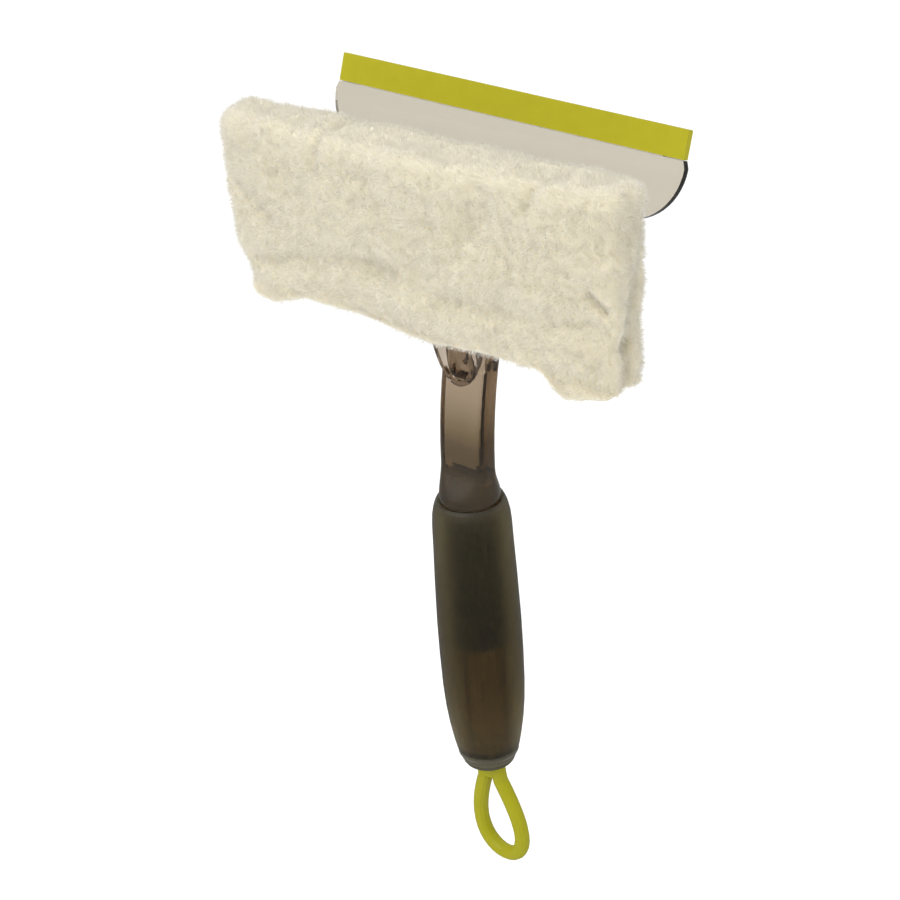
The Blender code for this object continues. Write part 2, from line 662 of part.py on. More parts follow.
def build_foam(name, side, mat):
    """Foam on one face of the paddle, thicker at its middle. side is -1 in front and 1 behind."""
    face = PADDLE_Y + side * (PADDLE_THICKNESS / 2 + GAP)
    width = PADDLE_LENGTH - 2 * FOAM_INSET
    height = PADDLE_HEIGHT - 2 * FOAM_INSET
    centre_z = PADDLE_FOOT_Z + PADDLE_HEIGHT / 2
    layers = ((1.0, 0.0), (1.0, 0.6), (0.985, 0.9), (0.95, 1.0), (0.7, 1.12), (0.35, 1.25))
    rings = []
    for scale, part in layers:
        outline = rounded_box_outline(width, height, PADDLE_CORNER_RADIUS)
        depth = FOAM_THICKNESS * min(part, 1.0) + FOAM_CROWN * max(part - 1.0, 0.0) / 0.25
        rings.append([Vector((x * scale, face + side * depth, centre_z + z * scale)) for x, z in outline])
    return add_mesh(name, loft(rings), mat)


def below_sleeve():
    """A height below the sleeve's lowest point, where its cutters start."""
    return PADDLE_FOOT_Z - max(drop for share, drop in SLEEVE_HEM) - 5 * PAST


def notch_cutter(name, y_low, y_high, mat):
    """Clears the arm where it passes the rear foam and the sleeve's rear hem."""
    low = below_sleeve()
    height = PADDLE_FOOT_Z + SLEEVE_NOTCH_HEIGHT - low
    outline = rounded_box_outline(SLEEVE_NOTCH_WIDTH, 2 * height, SLEEVE_NOTCH_RADIUS)
    points = [Vector((x, y_low, low + z)) for x, z in outline]
    return add_mesh(name, extrude_outline(points, (0, y_high - y_low, 0)), mat)


def sleeve_inner():
    """(half width, front, back, top) of the pocket, with ease round paddle and foam."""
    reach = PADDLE_THICKNESS / 2 + GAP + FOAM_THICKNESS + FOAM_CROWN + SLEEVE_EASE
    top = PADDLE_FOOT_Z + PADDLE_HEIGHT + SLEEVE_EASE
    return PADDLE_LENGTH / 2 + SLEEVE_EASE, PADDLE_Y - reach, PADDLE_Y + reach, top


def sleeve_foot(share):
    """Height of the sleeve's hem, which hangs in a lobe near each end and sags a little at the middle."""
    for (left, left_drop), (right, right_drop) in zip(SLEEVE_HEM, SLEEVE_HEM[1:]):
        if share <= right:
            break
    return PADDLE_FOOT_Z - left_drop - (right_drop - left_drop) * smooth_step((share - left) / (right - left))


def distance_to_route(point, route):
    """Distance from a point to a route of straight pieces."""
    nearest = []
    for start, end in zip(route, route[1:]):
        along = end - start
        part = min(max((point - start).dot(along) / along.length_squared, 0.0), 1.0)
        nearest.append((point - start - part * along).length)
    return min(nearest)


def crease_depth(point, half):
    """How far the sleeve's creases draw a point of its outside in."""
    depth = 0.0
    for route, width, deep in SLEEVE_CREASES:
        places = [Vector((share * half, y, PADDLE_FOOT_Z + rise)) for share, y, rise in route]
        depth += deep * math.exp(-(distance_to_route(point, places) / width) ** 2)
    return depth


def sleeve_section(station, half, front, back, top):
    """Points round the sleeve's outside at one station along X, with the creases drawn in."""
    x = station * half
    # The ends are drawn in: the section shrinks along a quarter round.
    end = min((1 - abs(station)) * half / SLEEVE_END_ROUND, 1.0)
    shrink = 1 - math.sqrt(max(1 - (1 - end) ** 2, 0.0))
    low, high = sleeve_foot(station), top + SLEEVE_TOP_TILT * (station - 1) / 2
    crown = SLEEVE_CROWN * (1 - station * station)
    centre = Vector((x, (front - crown + back) / 2, (low + high) / 2))
    height = high - low - 2 * SLEEVE_END_DRAW * shrink
    depth = back - front + crown - 2 * SLEEVE_END_DRAW * shrink
    corner = SLEEVE_CORNER_RADIUS * (1 - 0.35 * shrink)
    steps = 5
    outline = rounded_box_outline(depth, height, corner, steps)
    side = [1 - 2 * step / SLEEVE_FRONT_STEPS for step in range(1, SLEEVE_FRONT_STEPS)]
    before_front = 2 * (steps + 1)
    outline[before_front:before_front] = [(-depth / 2, (height / 2 - corner) * part) for part in side]
    points = []
    for y, z in outline:
        swell = SLEEVE_SWELL * math.cos(math.pi * z / height) * (1 if y < 0 else 0.5) * (1 - shrink)
        wider, full = SLEEVE_RIGHT_FLARE if x > 0 else SLEEVE_LEFT_FLARE
        flare = wider * abs(station) ** 3 * min((0.5 + z / height) / full, 1.0)
        drawn = SLEEVE_HEM_DRAW * (1 - station * station) * (1 - smooth_step((z + height / 2) / SLEEVE_HEM_DRAW_HEIGHT))
        place = y + math.copysign(swell, y) + (drawn if y < 0 else 0.0)
        point = centre + Vector((math.copysign(flare, x), place, z))
        inward = Vector((0, -y / (depth / 2), -z / (height / 2)))
        inward = Vector((0, math.copysign(inward.y ** 4, inward.y), math.copysign(inward.z ** 4, inward.z)))
        points.append(point + inward.normalized() * crease_depth(point, half))
    return points


def build_sleeve(mat):
    """Pocket of thick microfibre cloth: crowned front, drawn-in ends, a hem with two lobes, soft creases."""
    inner_half, front, back, top = sleeve_inner()
    half = inner_half + SLEEVE_SIDE_WALL
    outer = (half, front - SLEEVE_FRONT_WALL, back + SLEEVE_BACK_WALL, top + SLEEVE_TOP_WALL + SLEEVE_TOP_TILT)
    rings = [sleeve_section(station, *outer) for station in SLEEVE_STATIONS]
    sleeve = add_mesh("microfibre_sleeve", loft(rings), mat, math.radians(60))

    low = below_sleeve()
    outline = rounded_box_outline(2 * inner_half, 2 * (top - low), PADDLE_CORNER_RADIUS)
    points = [Vector((x, front, low + z)) for x, z in outline]
    cut(sleeve, add_mesh("sleeve_pocket", extrude_outline(points, (0, back - front, 0)), mat))
    cut(sleeve, notch_cutter("sleeve_notch", PADDLE_Y, back + SLEEVE_BACK_WALL + 2 * PAST, mat))
    return sleeve


def grip_outer():
    """(radius, height) of the grip's outside, from its lower edge up to the rim."""
    rise = GRIP_BELLY_RADIUS - GRIP_END_RADIUS
    fall = GRIP_BELLY_RADIUS - GRIP_SHOULDER_RADIUS
    step = GRIP_SHOULDER_RADIUS - GRIP_RIM_RADIUS
    body = GRIP_LENGTH - GRIP_FOOT_Z
    lower = ((0.0, 0.0), (0.19, 0.022), (0.36, 0.055), (0.5, 0.089))
    lower += ((0.7, 0.148), (0.85, 0.215), (0.95, 0.296))
    middle = ((1.0, 0.415), (1.0, 0.541), (0.62, 0.704), (0.24, 0.815), (0.0, 0.904))
    rim = ((0.15, 0.941), (0.45, 0.970), (0.80, 0.989), (1.0, 0.996))
    profile = [(GRIP_END_RADIUS + part * rise, GRIP_FOOT_Z + up * body) for part, up in lower]
    profile += [(GRIP_SHOULDER_RADIUS + part * fall, GRIP_FOOT_Z + up * body) for part, up in middle]
    profile += [(GRIP_SHOULDER_RADIUS - part * step, GRIP_FOOT_Z + up * body) for part, up in rim]
    return profile + [(GRIP_RIM_RADIUS - GAP, GRIP_LENGTH)]


def build_grip_sleeve(mat):
    """Soft sleeve: a swelling tube with a lip at its lower end."""
    inner = [
        (GRIP_BORE_RADIUS + GRIP_MOUTH_CHAMFER / 2, GRIP_LENGTH),
        (GRIP_BORE_RADIUS, GRIP_LENGTH - GRIP_MOUTH_CHAMFER),
        (GRIP_BORE_RADIUS, GRIP_FOOT_Z + GRIP_LIP_HEIGHT),
        (GRIP_MOUTH_RADIUS, GRIP_FOOT_Z + GRIP_LIP_HEIGHT),
        (GRIP_MOUTH_RADIUS, GRIP_FOOT_Z),
    ]
    outer = grip_outer()
    return add_mesh("grip_sleeve", lathe(outer + inner + outer[:1]), mat)


def build_grip_core(mat):
    """Hollow ribbed core below the tang, with a spigot that plugs into the tang's bore."""
    radius = GRIP_BORE_RADIUS - GAP
    root = radius - CORE_RIB_HEIGHT
    length = TANG_END_HEIGHT - GAP - CORE_FOOT_Z
    core = add_mesh("grip_core", ribbed_prism(radius, root, length), mat)
    spigot = TANG_RADIUS - TANG_WALL - GAP
    top = TANG_END_HEIGHT + SPIGOT_LENGTH
    shape = rod((0, 0, TANG_END_HEIGHT - SPIGOT_ROOT), (0, 0, top), spigot, ROUND_SIDES)
    unite(core, add_mesh("core_spigot", shape, mat))
    bore = rod((0, 0, CORE_FOOT_Z - PAST), (0, 0, top + PAST), CORE_BORE_RADIUS, ROUND_SIDES)
    cut(core, add_mesh("core_bore", bore, mat))
    return core


def ribbed_prism(radius, root, length):
    """A prism whose outline has CORE_RIB_COUNT square ribs."""
    outline = []
    half_tip = CORE_RIB_WIDTH / 2 / radius
    half_root = CORE_RIB_WIDTH / 2 / root
    pitch = math.tau / CORE_RIB_COUNT
    for i in range(CORE_RIB_COUNT):
        centre = pitch * i
        valley = (pitch - 2 * half_root) / 3
        corners = [
            (centre - half_root, root),
            (centre - half_tip, radius),
            (centre + half_tip, radius),
            (centre + half_root, root),
            (centre + half_root + valley, root),
            (centre + half_root + 2 * valley, root),
        ]
        outline += [Vector((r * math.cos(a), r * math.sin(a), CORE_FOOT_Z)) for a, r in corners]
    return extrude_outline(outline, (0, 0, length))


def build_end_plug(mat):
    """Plug that closes the grip's lower end. Its stem is a clevis that holds the loop's pin."""
    edge = GRIP_END_RADIUS - GAP
    neck = GRIP_MOUTH_RADIUS - GAP
    stem = CORE_BORE_RADIUS - GAP
    step_z = CORE_FOOT_Z - GAP
    under = GRIP_FOOT_Z - GAP
    round_off = edge - PLUG_FLAT_RADIUS
    profile = [
        (0.0, 0.0),
        (PLUG_FLAT_RADIUS, 0.0),
        (PLUG_FLAT_RADIUS + 0.55 * round_off, 0.22 * under),
        (PLUG_FLAT_RADIUS + 0.87 * round_off, 0.56 * under),
        (edge, under),
        (neck, under),
        (neck, step_z),
        (stem, step_z),
        (stem, PLUG_STEM_HEIGHT - PLUG_CHAMFER),
        (stem - PLUG_CHAMFER, PLUG_STEM_HEIGHT),
        (0.0, PLUG_STEM_HEIGHT),
    ]
    plug = add_mesh("end_plug", lathe(profile), mat)
    root_half = (LOOP_STRAND_SPACING + LOOP_THICKNESS) / 2
    sway = PIN_HEIGHT * math.tan(LOOP_SWING)
    mouth = root_half / math.cos(LOOP_SWING) + sway + LOOP_CLEARANCE
    depth = LOOP_THICKNESS / 2 + LOOP_CLEARANCE
    slot_top = PIN_HEIGHT + root_half + LOOP_CLEARANCE
    wide = CORE_BORE_RADIUS + PAST
    cut(plug, box("plug_mouth", (-mouth, -depth, -PAST), (mouth, depth, step_z + GAP), mat))
    cut(plug, box("plug_slot", (-wide, -depth, step_z), (wide, depth, slot_top), mat))
    hole = rod((0, -wide, PIN_HEIGHT), (0, wide, PIN_HEIGHT), PIN_RADIUS + GAP)
    cut(plug, add_mesh("plug_pin_hole", hole, mat))
    return plug


def box(name, low, high, mat):
    (x0, y0, z0), (x1, y1, z1) = low, high
    base = [Vector((x0, y0, z0)), Vector((x1, y0, z0)), Vector((x1, y1, z0)), Vector((x0, y1, z0))]
    return add_mesh(name, extrude_outline(base, (0, 0, z1 - z0)), mat)


def build_loop_pin(mat):
    half = math.sqrt(CORE_BORE_RADIUS ** 2 - PIN_RADIUS ** 2) - 2 * GAP
    pin = add_mesh("loop_pin", rod((0, -half, 0), (0, half, 0), PIN_RADIUS), mat)
    pin.location = (0, 0, PIN_HEIGHT)
    return pin


def loop_centreline():
    """Points of the strand, as a leaning drop that starts and ends in the loop's root."""
    points = []
    half_root = LOOP_STRAND_SPACING / 2
    for i in range(LOOP_POINTS):
        t = math.tau * i / (LOOP_POINTS - 1)
        down = LOOP_DROP * (1 - math.cos(t)) / 2
        swell = math.sin(t) * (math.sin(t / 2)) ** 1.4
        side = LOOP_HALF_WIDTH * swell / 0.80
        if down < 0.5 * LOOP_DROP:
            side = math.copysign(max(abs(side), half_root), math.pi - t)
        points.append(Vector((side + down * math.tan(LOOP_LEAN), 0, -down)))
    return points


def build_hang_loop(mat):
    """Moulded loop: a round strand in a drop shape, and a flat root with an eye round the pin."""
    points = loop_centreline()
    rings = []
    for index, point in enumerate(points):
        before, after = points[max(index - 1, 0)], points[min(index + 1, len(points) - 1)]
        along = (after - before).normalized()
        across = Vector((0, 1, 0)).cross(along)
        rings.append([
            point + LOOP_THICKNESS / 2 * (math.cos(a) * across + math.sin(a) * Vector((0, 1, 0)))
            for a in turns(LOOP_SIDES)
        ])
    centre = Matrix.Translation((0, 0, -PIN_HEIGHT))
    bm = loft(rings)
    bmesh.ops.transform(bm, matrix=centre, verts=bm.verts)
    loop = add_mesh("hang_loop", bm, mat, math.radians(60))
    loop.location = (0, 0, PIN_HEIGHT)

    half = (LOOP_STRAND_SPACING + LOOP_THICKNESS) / 2
    narrow = LOOP_STRAND_SPACING / 2
    lean = LOOP_WEB_DROP * math.tan(LOOP_LEAN)
    outline = [(-half, 0.0), (lean - narrow, -LOOP_WEB_DROP), (lean + narrow, -LOOP_WEB_DROP), (half, 0.0)]
    arc = [math.pi * i / SMALL_SIDES for i in range(SMALL_SIDES + 1)]
    outline += [(half * math.cos(a), PIN_HEIGHT + half * math.sin(a)) for a in arc]
    web = LOOP_THICKNESS - 2 * GAP
    bm = extrude_outline([Vector((x, -web / 2, z)) for x, z in outline], (0, web, 0))
    bmesh.ops.transform(bm, matrix=centre, verts=bm.verts)
    root = add_mesh("loop_root_shape", bm, mat)
    root.location = (0, 0, PIN_HEIGHT)
    unite(loop, root)
    eye = add_mesh("loop_eye", rod((0, -LOOP_THICKNESS, 0), (0, LOOP_THICKNESS, 0), PIN_RADIUS + GAP), mat)
    eye.location = (0, 0, PIN_HEIGHT)
    cut(loop, eye)
    return loop


def main():
    clear_scene()
    smoke = make_material("smoke_clear_plastic", (0.20, 0.16, 0.11), 0.12, transmission=0.7)
    frosted = make_material("soft_translucent_grip", (0.040, 0.036, 0.024), 0.42)
    core_brown = make_material("brown_core_plastic", (0.10, 0.065, 0.035), 0.3)
    lime = make_material("lime_rubber", (0.50, 0.45, 0.03), 0.45)
    cream = make_material("cream_microfibre", (0.72, 0.66, 0.51), 0.95)
    foam = make_material("white_foam", (0.78, 0.76, 0.70), 0.95)
    steel = make_material("steel_screw", (0.55, 0.55, 0.56), 0.3, metallic=1.0)

    build_handle_frame(smoke)
    build_blade(lime)
    build_blade_clamp(smoke)
    build_clamp_screws(steel)
    build_scrubber_frame(smoke)
    build_arm_screws(steel)
    build_foam("foam_pad_front", -1, foam)
    rear = build_foam("foam_pad_rear", 1, foam)
    cut(rear, notch_cutter("rear_foam_notch", PADDLE_Y, sleeve_inner()[2], foam))
    build_sleeve(cream)
    build_grip_sleeve(frosted)
    build_grip_core(core_brown)
    build_end_plug(frosted)
    build_loop_pin(steel)
    build_hang_loop(lime)


main()
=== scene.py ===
# %% [markdown]
# A window squeegee with a scrubber sleeve, in one lesson.
# The object has a lime silicone blade on a smoke-clear plate, a fleecy cloth sleeve on a paddle in front of
# it, a soft see-through grip and a moulded hanging loop. The hard pieces arrive finished in shape from the
# CAD model, so this script gives them their materials. The soft pieces, which are the cloth sleeve and the
# foam under it, are modelled here.

# %% Load the CAD model
import math

import bmesh
import bpy
import numpy as np
from mathutils import Matrix, Vector, noise


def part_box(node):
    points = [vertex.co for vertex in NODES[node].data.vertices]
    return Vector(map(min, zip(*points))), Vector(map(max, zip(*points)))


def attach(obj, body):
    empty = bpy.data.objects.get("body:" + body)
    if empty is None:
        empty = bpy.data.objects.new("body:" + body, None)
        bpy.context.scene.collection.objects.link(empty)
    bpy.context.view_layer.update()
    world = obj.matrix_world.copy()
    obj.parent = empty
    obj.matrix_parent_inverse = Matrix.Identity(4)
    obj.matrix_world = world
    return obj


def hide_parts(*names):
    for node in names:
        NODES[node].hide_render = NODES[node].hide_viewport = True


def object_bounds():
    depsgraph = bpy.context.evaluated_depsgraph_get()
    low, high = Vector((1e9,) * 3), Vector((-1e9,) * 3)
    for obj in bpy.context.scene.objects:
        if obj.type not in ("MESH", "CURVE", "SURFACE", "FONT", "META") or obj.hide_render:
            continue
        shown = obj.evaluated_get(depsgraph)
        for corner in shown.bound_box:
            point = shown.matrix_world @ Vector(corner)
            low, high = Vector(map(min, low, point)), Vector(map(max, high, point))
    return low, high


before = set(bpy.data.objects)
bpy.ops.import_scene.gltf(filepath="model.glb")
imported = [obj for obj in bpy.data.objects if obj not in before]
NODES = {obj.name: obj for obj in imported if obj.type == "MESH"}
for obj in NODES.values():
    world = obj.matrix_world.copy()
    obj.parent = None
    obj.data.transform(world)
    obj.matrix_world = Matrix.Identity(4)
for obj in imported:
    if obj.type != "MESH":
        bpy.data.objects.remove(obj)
cad_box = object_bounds()
print(len(NODES), "CAD nodes, from", tuple(cad_box[0]), "to", tuple(cad_box[1]))

# %% [markdown]
# The camera stands at the photograph's viewing angle: to the right of the object's front and above it.
# Three turns and a place say that better than nine matrix numbers. The order is a turn round the vertical,
# then a tilt down from the horizon, then a small roll round the view itself, as a hand holds a camera.

# %% Camera
VIEW_TURN = math.radians(42.20)
VIEW_DROP = math.radians(28.72)
VIEW_ROLL = math.radians(-4.49)
CAMERA_PLACE = Vector((0.5959, -0.6677, 0.6518))
LENS_MM = 96.0
SENSOR_MM = 36.0

camera_data = bpy.data.cameras.new("camera")
camera_data.lens = LENS_MM
camera_data.sensor_width = SENSOR_MM
camera = bpy.data.objects.new("camera", camera_data)
bpy.context.scene.collection.objects.link(camera)
turn = Matrix.Rotation(VIEW_TURN, 4, "Z")
tilt = Matrix.Rotation(math.pi / 2 - VIEW_DROP, 4, "X")
camera.matrix_world = Matrix.Translation(CAMERA_PLACE) @ turn @ tilt @ Matrix.Rotation(VIEW_ROLL, 4, "Z")
bpy.context.scene.camera = camera
print("camera", [round(x, 3) for x in camera.matrix_world.translation])

# %% [markdown]
# Every material below is a small net of nodes, so one helper adds a node with its properties and inputs.
# An input's value is either a number or another node's output, and then the helper links the two.
# Colours are picked on a screen, where they are sRGB. Light adds up in linear values, so one function
# turns a hex colour into those.

# %% Helpers for materials
def linear(hex_colour):
    """The linear RGBA of an sRGB hex colour."""
    parts = [int(hex_colour[i:i + 2], 16) / 255 for i in (1, 3, 5)]
    return (*[p / 12.92 if p <= 0.04045 else ((p + 0.055) / 1.055) ** 2.4 for p in parts], 1.0)


def add_node(tree, kind, inputs=None, **properties):
    """Adds a node. inputs maps a socket's name or number to a value or to another node's output."""
    node = tree.nodes.new(kind)
    for name, value in properties.items():
        setattr(node, name, value)
    for key, value in (inputs or {}).items():
        if isinstance(value, bpy.types.NodeSocket):
            tree.links.new(value, node.inputs[key])
        else:
            node.inputs[key].default_value = value
    return node


def new_material(name, seen_colour, **shader_inputs):
    """A material with one Principled shader, whose inputs are named with _ for a space.

    Returns the material, its tree and the shader.
    """
    material = bpy.data.materials.new(name)
    material.use_nodes = True
    material.diffuse_color = linear(seen_colour)
    tree = material.node_tree
    tree.nodes.clear()
    inputs = {"Base Color": linear(seen_colour)}
    inputs.update({key.replace("_", " "): value for key, value in shader_inputs.items()})
    shader = add_node(tree, "ShaderNodeBsdfPrincipled", inputs)
    add_node(tree, "ShaderNodeOutputMaterial", {"Surface": shader.outputs["BSDF"]})
    return material, tree, shader


def object_noise(tree, grain_mm, detail=3.0, stretch=(1.0, 1.0, 1.0)):
    """Noise on the object's own coordinates, whose lumps are about grain_mm wide."""
    place = add_node(tree, "ShaderNodeTexCoord").outputs["Object"]
    spread = add_node(tree, "ShaderNodeMapping", {"Vector": place, "Scale": stretch}).outputs["Vector"]
    return add_node(tree, "ShaderNodeTexNoise", {
        "Vector": spread, "Scale": 1000 / grain_mm, "Detail": detail
    }).outputs["Fac"]


def mixed_colour(tree, share, first, second):
    """A colour that goes from one hex colour to another while the share goes from 0 to 1."""
    return add_node(tree, "ShaderNodeMix", {
        "Factor": share, "A": linear(first), "B": linear(second)
    }, data_type="RGBA").outputs["Result"]


def add_relief(tree, shader, height, depth_mm):
    """A relief of the given real depth on a shader, from a height between 0 and 1."""
    bump = add_node(tree, "ShaderNodeBump", {"Height": height, "Distance": depth_mm / 1000})
    tree.links.new(bump.outputs["Normal"], shader.inputs["Normal"])


def soak_up(tree, hex_colour, thickness_mm):
    """Absorption that shows white light as hex_colour through that much material."""
    fade = [-math.log(part) / (thickness_mm / 1000) for part in linear(hex_colour)[:3]]
    density = max(fade)
    colour = (*[1 - part / density for part in fade], 1.0)
    volume = add_node(tree, "ShaderNodeVolumeAbsorption", {"Color": colour, "Density": density})
    tree.links.new(volume.outputs["Volume"], tree.get_output_node("ALL").inputs["Volume"])


def give_material(material, *names):
    """Puts a material on CAD nodes, in place of the one that they came with."""
    for name in names:
        NODES[name].data.materials.clear()
        NODES[name].data.materials.append(material)


# %% [markdown]
# Smoke-clear plastic makes the plate, the neck and the scrubber's arm. It is injection-moulded SAN, a hard
# clear plastic, tinted brown in the melt and polished in the mould. The tint lies in the body of the
# plastic and not on its skin, so thin places look pale and thick ones dark, and a volume does that.
# Towards the grip the moulding is painted darker than its thickness explains: a tint by height paints that
# shade, so that the tang is nearly black where it is seen through the grip.

# %% Smoke-clear plastic
SMOKE_SEEN = "#dcd3c6"  # white light through SMOKE_DEPTH_MM
SMOKE_DEPTH_MM = 8.0
TINT_AND_SHADE_BY_HEIGHT = (  # height in metres, and the tint there: the plastic's own at the top, with painted shade towards the grip
    (0.120, "#5a564c"), (0.141, "#665842"), (0.150, "#7d6b4f"), (0.160, "#6b5f4b"), (0.171, "#938872"),
    (0.187, "#c1b6aa"), (0.215, "#c8bdb1"), (0.240, "#d3cfc4"),
)
HAZE = 0.20  # share of the light that the moulding's foot scatters back, below HAZE_FROM
HAZE_FROM, HAZE_TO = 0.152, 0.168


def height_share(tree, low, high, **to):
    """A number that rises from 0 to 1, or between other ends, from one height on the object to another."""
    place = add_node(tree, "ShaderNodeTexCoord").outputs["Object"]
    height = add_node(tree, "ShaderNodeSeparateXYZ", {"Vector": place}).outputs["Z"]
    ends = {key.replace("_", " "): value for key, value in to.items()}
    return add_node(tree, "ShaderNodeMapRange", {
        "Value": height, "From Min": low, "From Max": high, **ends
    }).outputs["Result"]


def tint_by_height(tree, stops):
    """A colour that changes with the height on the object, from stops of (height, hex colour)."""
    low, high = stops[0][0], stops[-1][0]
    ramp = add_node(tree, "ShaderNodeValToRGB", {"Fac": height_share(tree, low, high)})
    marks = ramp.color_ramp.elements
    while len(marks) < len(stops):
        marks.new(1.0)
    for mark, (z, colour) in zip(marks, stops):
        mark.position = (z - low) / (high - low)
        mark.color = linear(colour)
    return ramp.outputs["Color"]


def make_smoke_plastic():
    material, tree, shader = new_material(
        "polished_smoke_san", TINT_AND_SHADE_BY_HEIGHT[-1][1], Transmission_Weight=1.0, IOR=1.53
    )
    soak_up(tree, SMOKE_SEEN, SMOKE_DEPTH_MM)
    # Painted shade: the base colour darkens towards the grip and inside it, over the plastic's own tint.
    tree.links.new(tint_by_height(tree, TINT_AND_SHADE_BY_HEIGHT), shader.inputs["Base Color"])
    clear = height_share(tree, HAZE_FROM, HAZE_TO, To_Min=1 - HAZE)
    tree.links.new(clear, shader.inputs["Transmission Weight"])
    rubbed = object_noise(tree, grain_mm=9.0, detail=5.0)
    polish = add_node(tree, "ShaderNodeMapRange", {"Value": rubbed, "To Min": 0.04, "To Max": 0.13})
    tree.links.new(polish.outputs["Result"], shader.inputs["Roughness"])
    add_relief(tree, shader, object_noise(tree, grain_mm=14.0, detail=2.0), depth_mm=0.05)
    return material


give_material(make_smoke_plastic(), "handle_frame", "scrubber_frame", "blade_clamp")
print("smoke plastic on the frame, the arm and the clamp")

# %% [markdown]
# Lime silicone makes the blade and the hanging loop. Moulded silicone rubber is satin, a little waxy, and
# lets light in for a millimetre or so, which softens its shadows. The blade's face has the fine lines of
# the extrusion that it was cut from.

# %% Lime silicone
BLADE_LIMES = ("#aba417", "#b4ae21")  # the darker and the lighter patches of its mottle
LOOP_LIMES = ("#9a970c", "#a39f14")  # the loop is moulded, and a little deeper in colour


def make_lime_silicone(name, limes, grain_stretch):
    material, tree, shader = new_material(
        name, limes[1], Roughness=0.45, Subsurface_Weight=0.12, Subsurface_Scale=0.002,
        Subsurface_Radius=(1.0, 0.9, 0.25), IOR=1.42, Specular_IOR_Level=0.3
    )
    mottle = object_noise(tree, grain_mm=6.0, detail=4.0)
    tree.links.new(mixed_colour(tree, mottle, *limes), shader.inputs["Base Color"])
    lines = object_noise(tree, grain_mm=0.7, detail=2.0, stretch=grain_stretch)
    add_relief(tree, shader, lines, depth_mm=0.04)
    return material


give_material(make_lime_silicone("extruded_lime_silicone", BLADE_LIMES, (0.03, 1.0, 1.0)), "squeegee_blade")
give_material(make_lime_silicone("moulded_lime_silicone", LOOP_LIMES, (1.0, 1.0, 1.0)), "hang_loop")
print("silicone on the blade and the loop")

# %% [markdown]
# The grip is thermoplastic rubber, moulded smoke-brown and see-through over the tang and the core. The
# mould was blasted with fine grit, so the skin is frosted: it blurs what lies behind it, and shines only
# softly along its edges. Roughness does the blurring, and a volume takes most of the light. The end plug is
# a solid block of the same rubber, and the core is a ribbed moulding that shows through as a paler brown.

# %% Grip, core and end plug
GRIP_SEEN = "#bbb49e"  # white light through GRIP_DEPTH_MM
GRIP_DEPTH_MM = 4.5
GRIP_TINTS = (  # height in metres, and the tint that the rubber has there
    (0.0030, "#57533f"), (0.0062, "#4a4634"), (0.0095, "#8c866a"), (0.0130, "#c9c4ab"), (0.0300, "#f3f1e1"),
)
CLEAR_FROM, CLEAR_TO = 0.0055, 0.0095  # the grip's foot is solid rubber, and nothing is seen through it
RUBBER_IOR = 1.43
GRIT_MM, GRIT_DEPTH_MM = 0.35, 0.03
CORE_SEEN = "#b58656"  # white light through CORE_DEPTH_MM
CORE_DEPTH_MM = 3.0


def make_grip_rubber():
    material, tree, shader = new_material(
        "frosted_smoke_rubber", GRIP_TINTS[-1][1], Transmission_Weight=1.0, Roughness=0.38, IOR=RUBBER_IOR
    )
    soak_up(tree, GRIP_SEEN, GRIP_DEPTH_MM)
    tree.links.new(tint_by_height(tree, GRIP_TINTS), shader.inputs["Base Color"])
    tree.links.new(height_share(tree, CLEAR_FROM, CLEAR_TO), shader.inputs["Transmission Weight"])
    add_relief(tree, shader, object_noise(tree, GRIT_MM, detail=2.0), GRIT_DEPTH_MM)
    return material


def make_plug_rubber():
    """The same rubber in a solid block, so thick that nothing is seen through it."""
    material, tree, shader = new_material("solid_smoke_rubber", "#4a4634", Roughness=0.6, IOR=RUBBER_IOR)
    add_relief(tree, shader, object_noise(tree, GRIT_MM, detail=2.0), GRIT_DEPTH_MM)
    return material


def make_core_plastic():
    material, tree, shader = new_material(
        "moulded_brown_core", "#d8b890", Transmission_Weight=0.5, Roughness=0.3, IOR=1.5
    )
    soak_up(tree, CORE_SEEN, CORE_DEPTH_MM)
    add_relief(tree, shader, object_noise(tree, grain_mm=5.0), depth_mm=0.05)
    return material


give_material(make_grip_rubber(), "grip_sleeve")
give_material(make_plug_rubber(), "end_plug")
give_material(make_core_plastic(), "grip_core")
print("rubber on the grip and the plug, plastic on the core")

# %% [markdown]
# The screws and the loop's pin are zinc-plated steel. Plating leaves a bright skin with faint cloudy
# patches, which are a little duller than the rest, so noise varies how rough the metal is.

# %% Zinc-plated steel
def make_zinc_steel():
    material, tree, shader = new_material("zinc_plated_steel", "#b9babd", Metallic=1.0)
    clouds = object_noise(tree, grain_mm=1.6, detail=4.0)
    dullness = add_node(tree, "ShaderNodeMapRange", {"Value": clouds, "To Min": 0.22, "To Max": 0.42})
    tree.links.new(dullness.outputs["Result"], shader.inputs["Roughness"])
    return material


give_material(make_zinc_steel(), "loop_pin", *[name for name in NODES if "screw" in name])
print("steel on the screws and the pin")

# %% [markdown]
# Two foam pads give the sleeve its thickness, one on each face of the paddle. They are die-cut from
# open-cell foam, so their sides are straight, their corners round and their faces a little crowned.
# The CAD pads have that form, so each copy starts from its CAD mesh: the loose triangles are merged, a
# voxel remesh gives even quads, and noise of two sizes moves their points for the soft dents and the cells.

# %% Foam pads
FOAM_VOXEL = 0.0012
CELL_MM = 1.1
CELL_RIM = 0.55  # distance of a cell's rim from its middle, in the pattern's own units
CELL_PAINTED_SHADE = ("#bcb6a6", "#dfdbd0")  # painted shade in the hollow of a cell, and the foam's lighter colour on its rim
DENTS_PER_METRE, DENT_DEPTH = 60, 0.0004
CELLS_PER_METRE, CELL_DEPTH = 700, 0.00016
PAD_SINK = 0.0003  # the pad's skin lies this far inside that of its solid


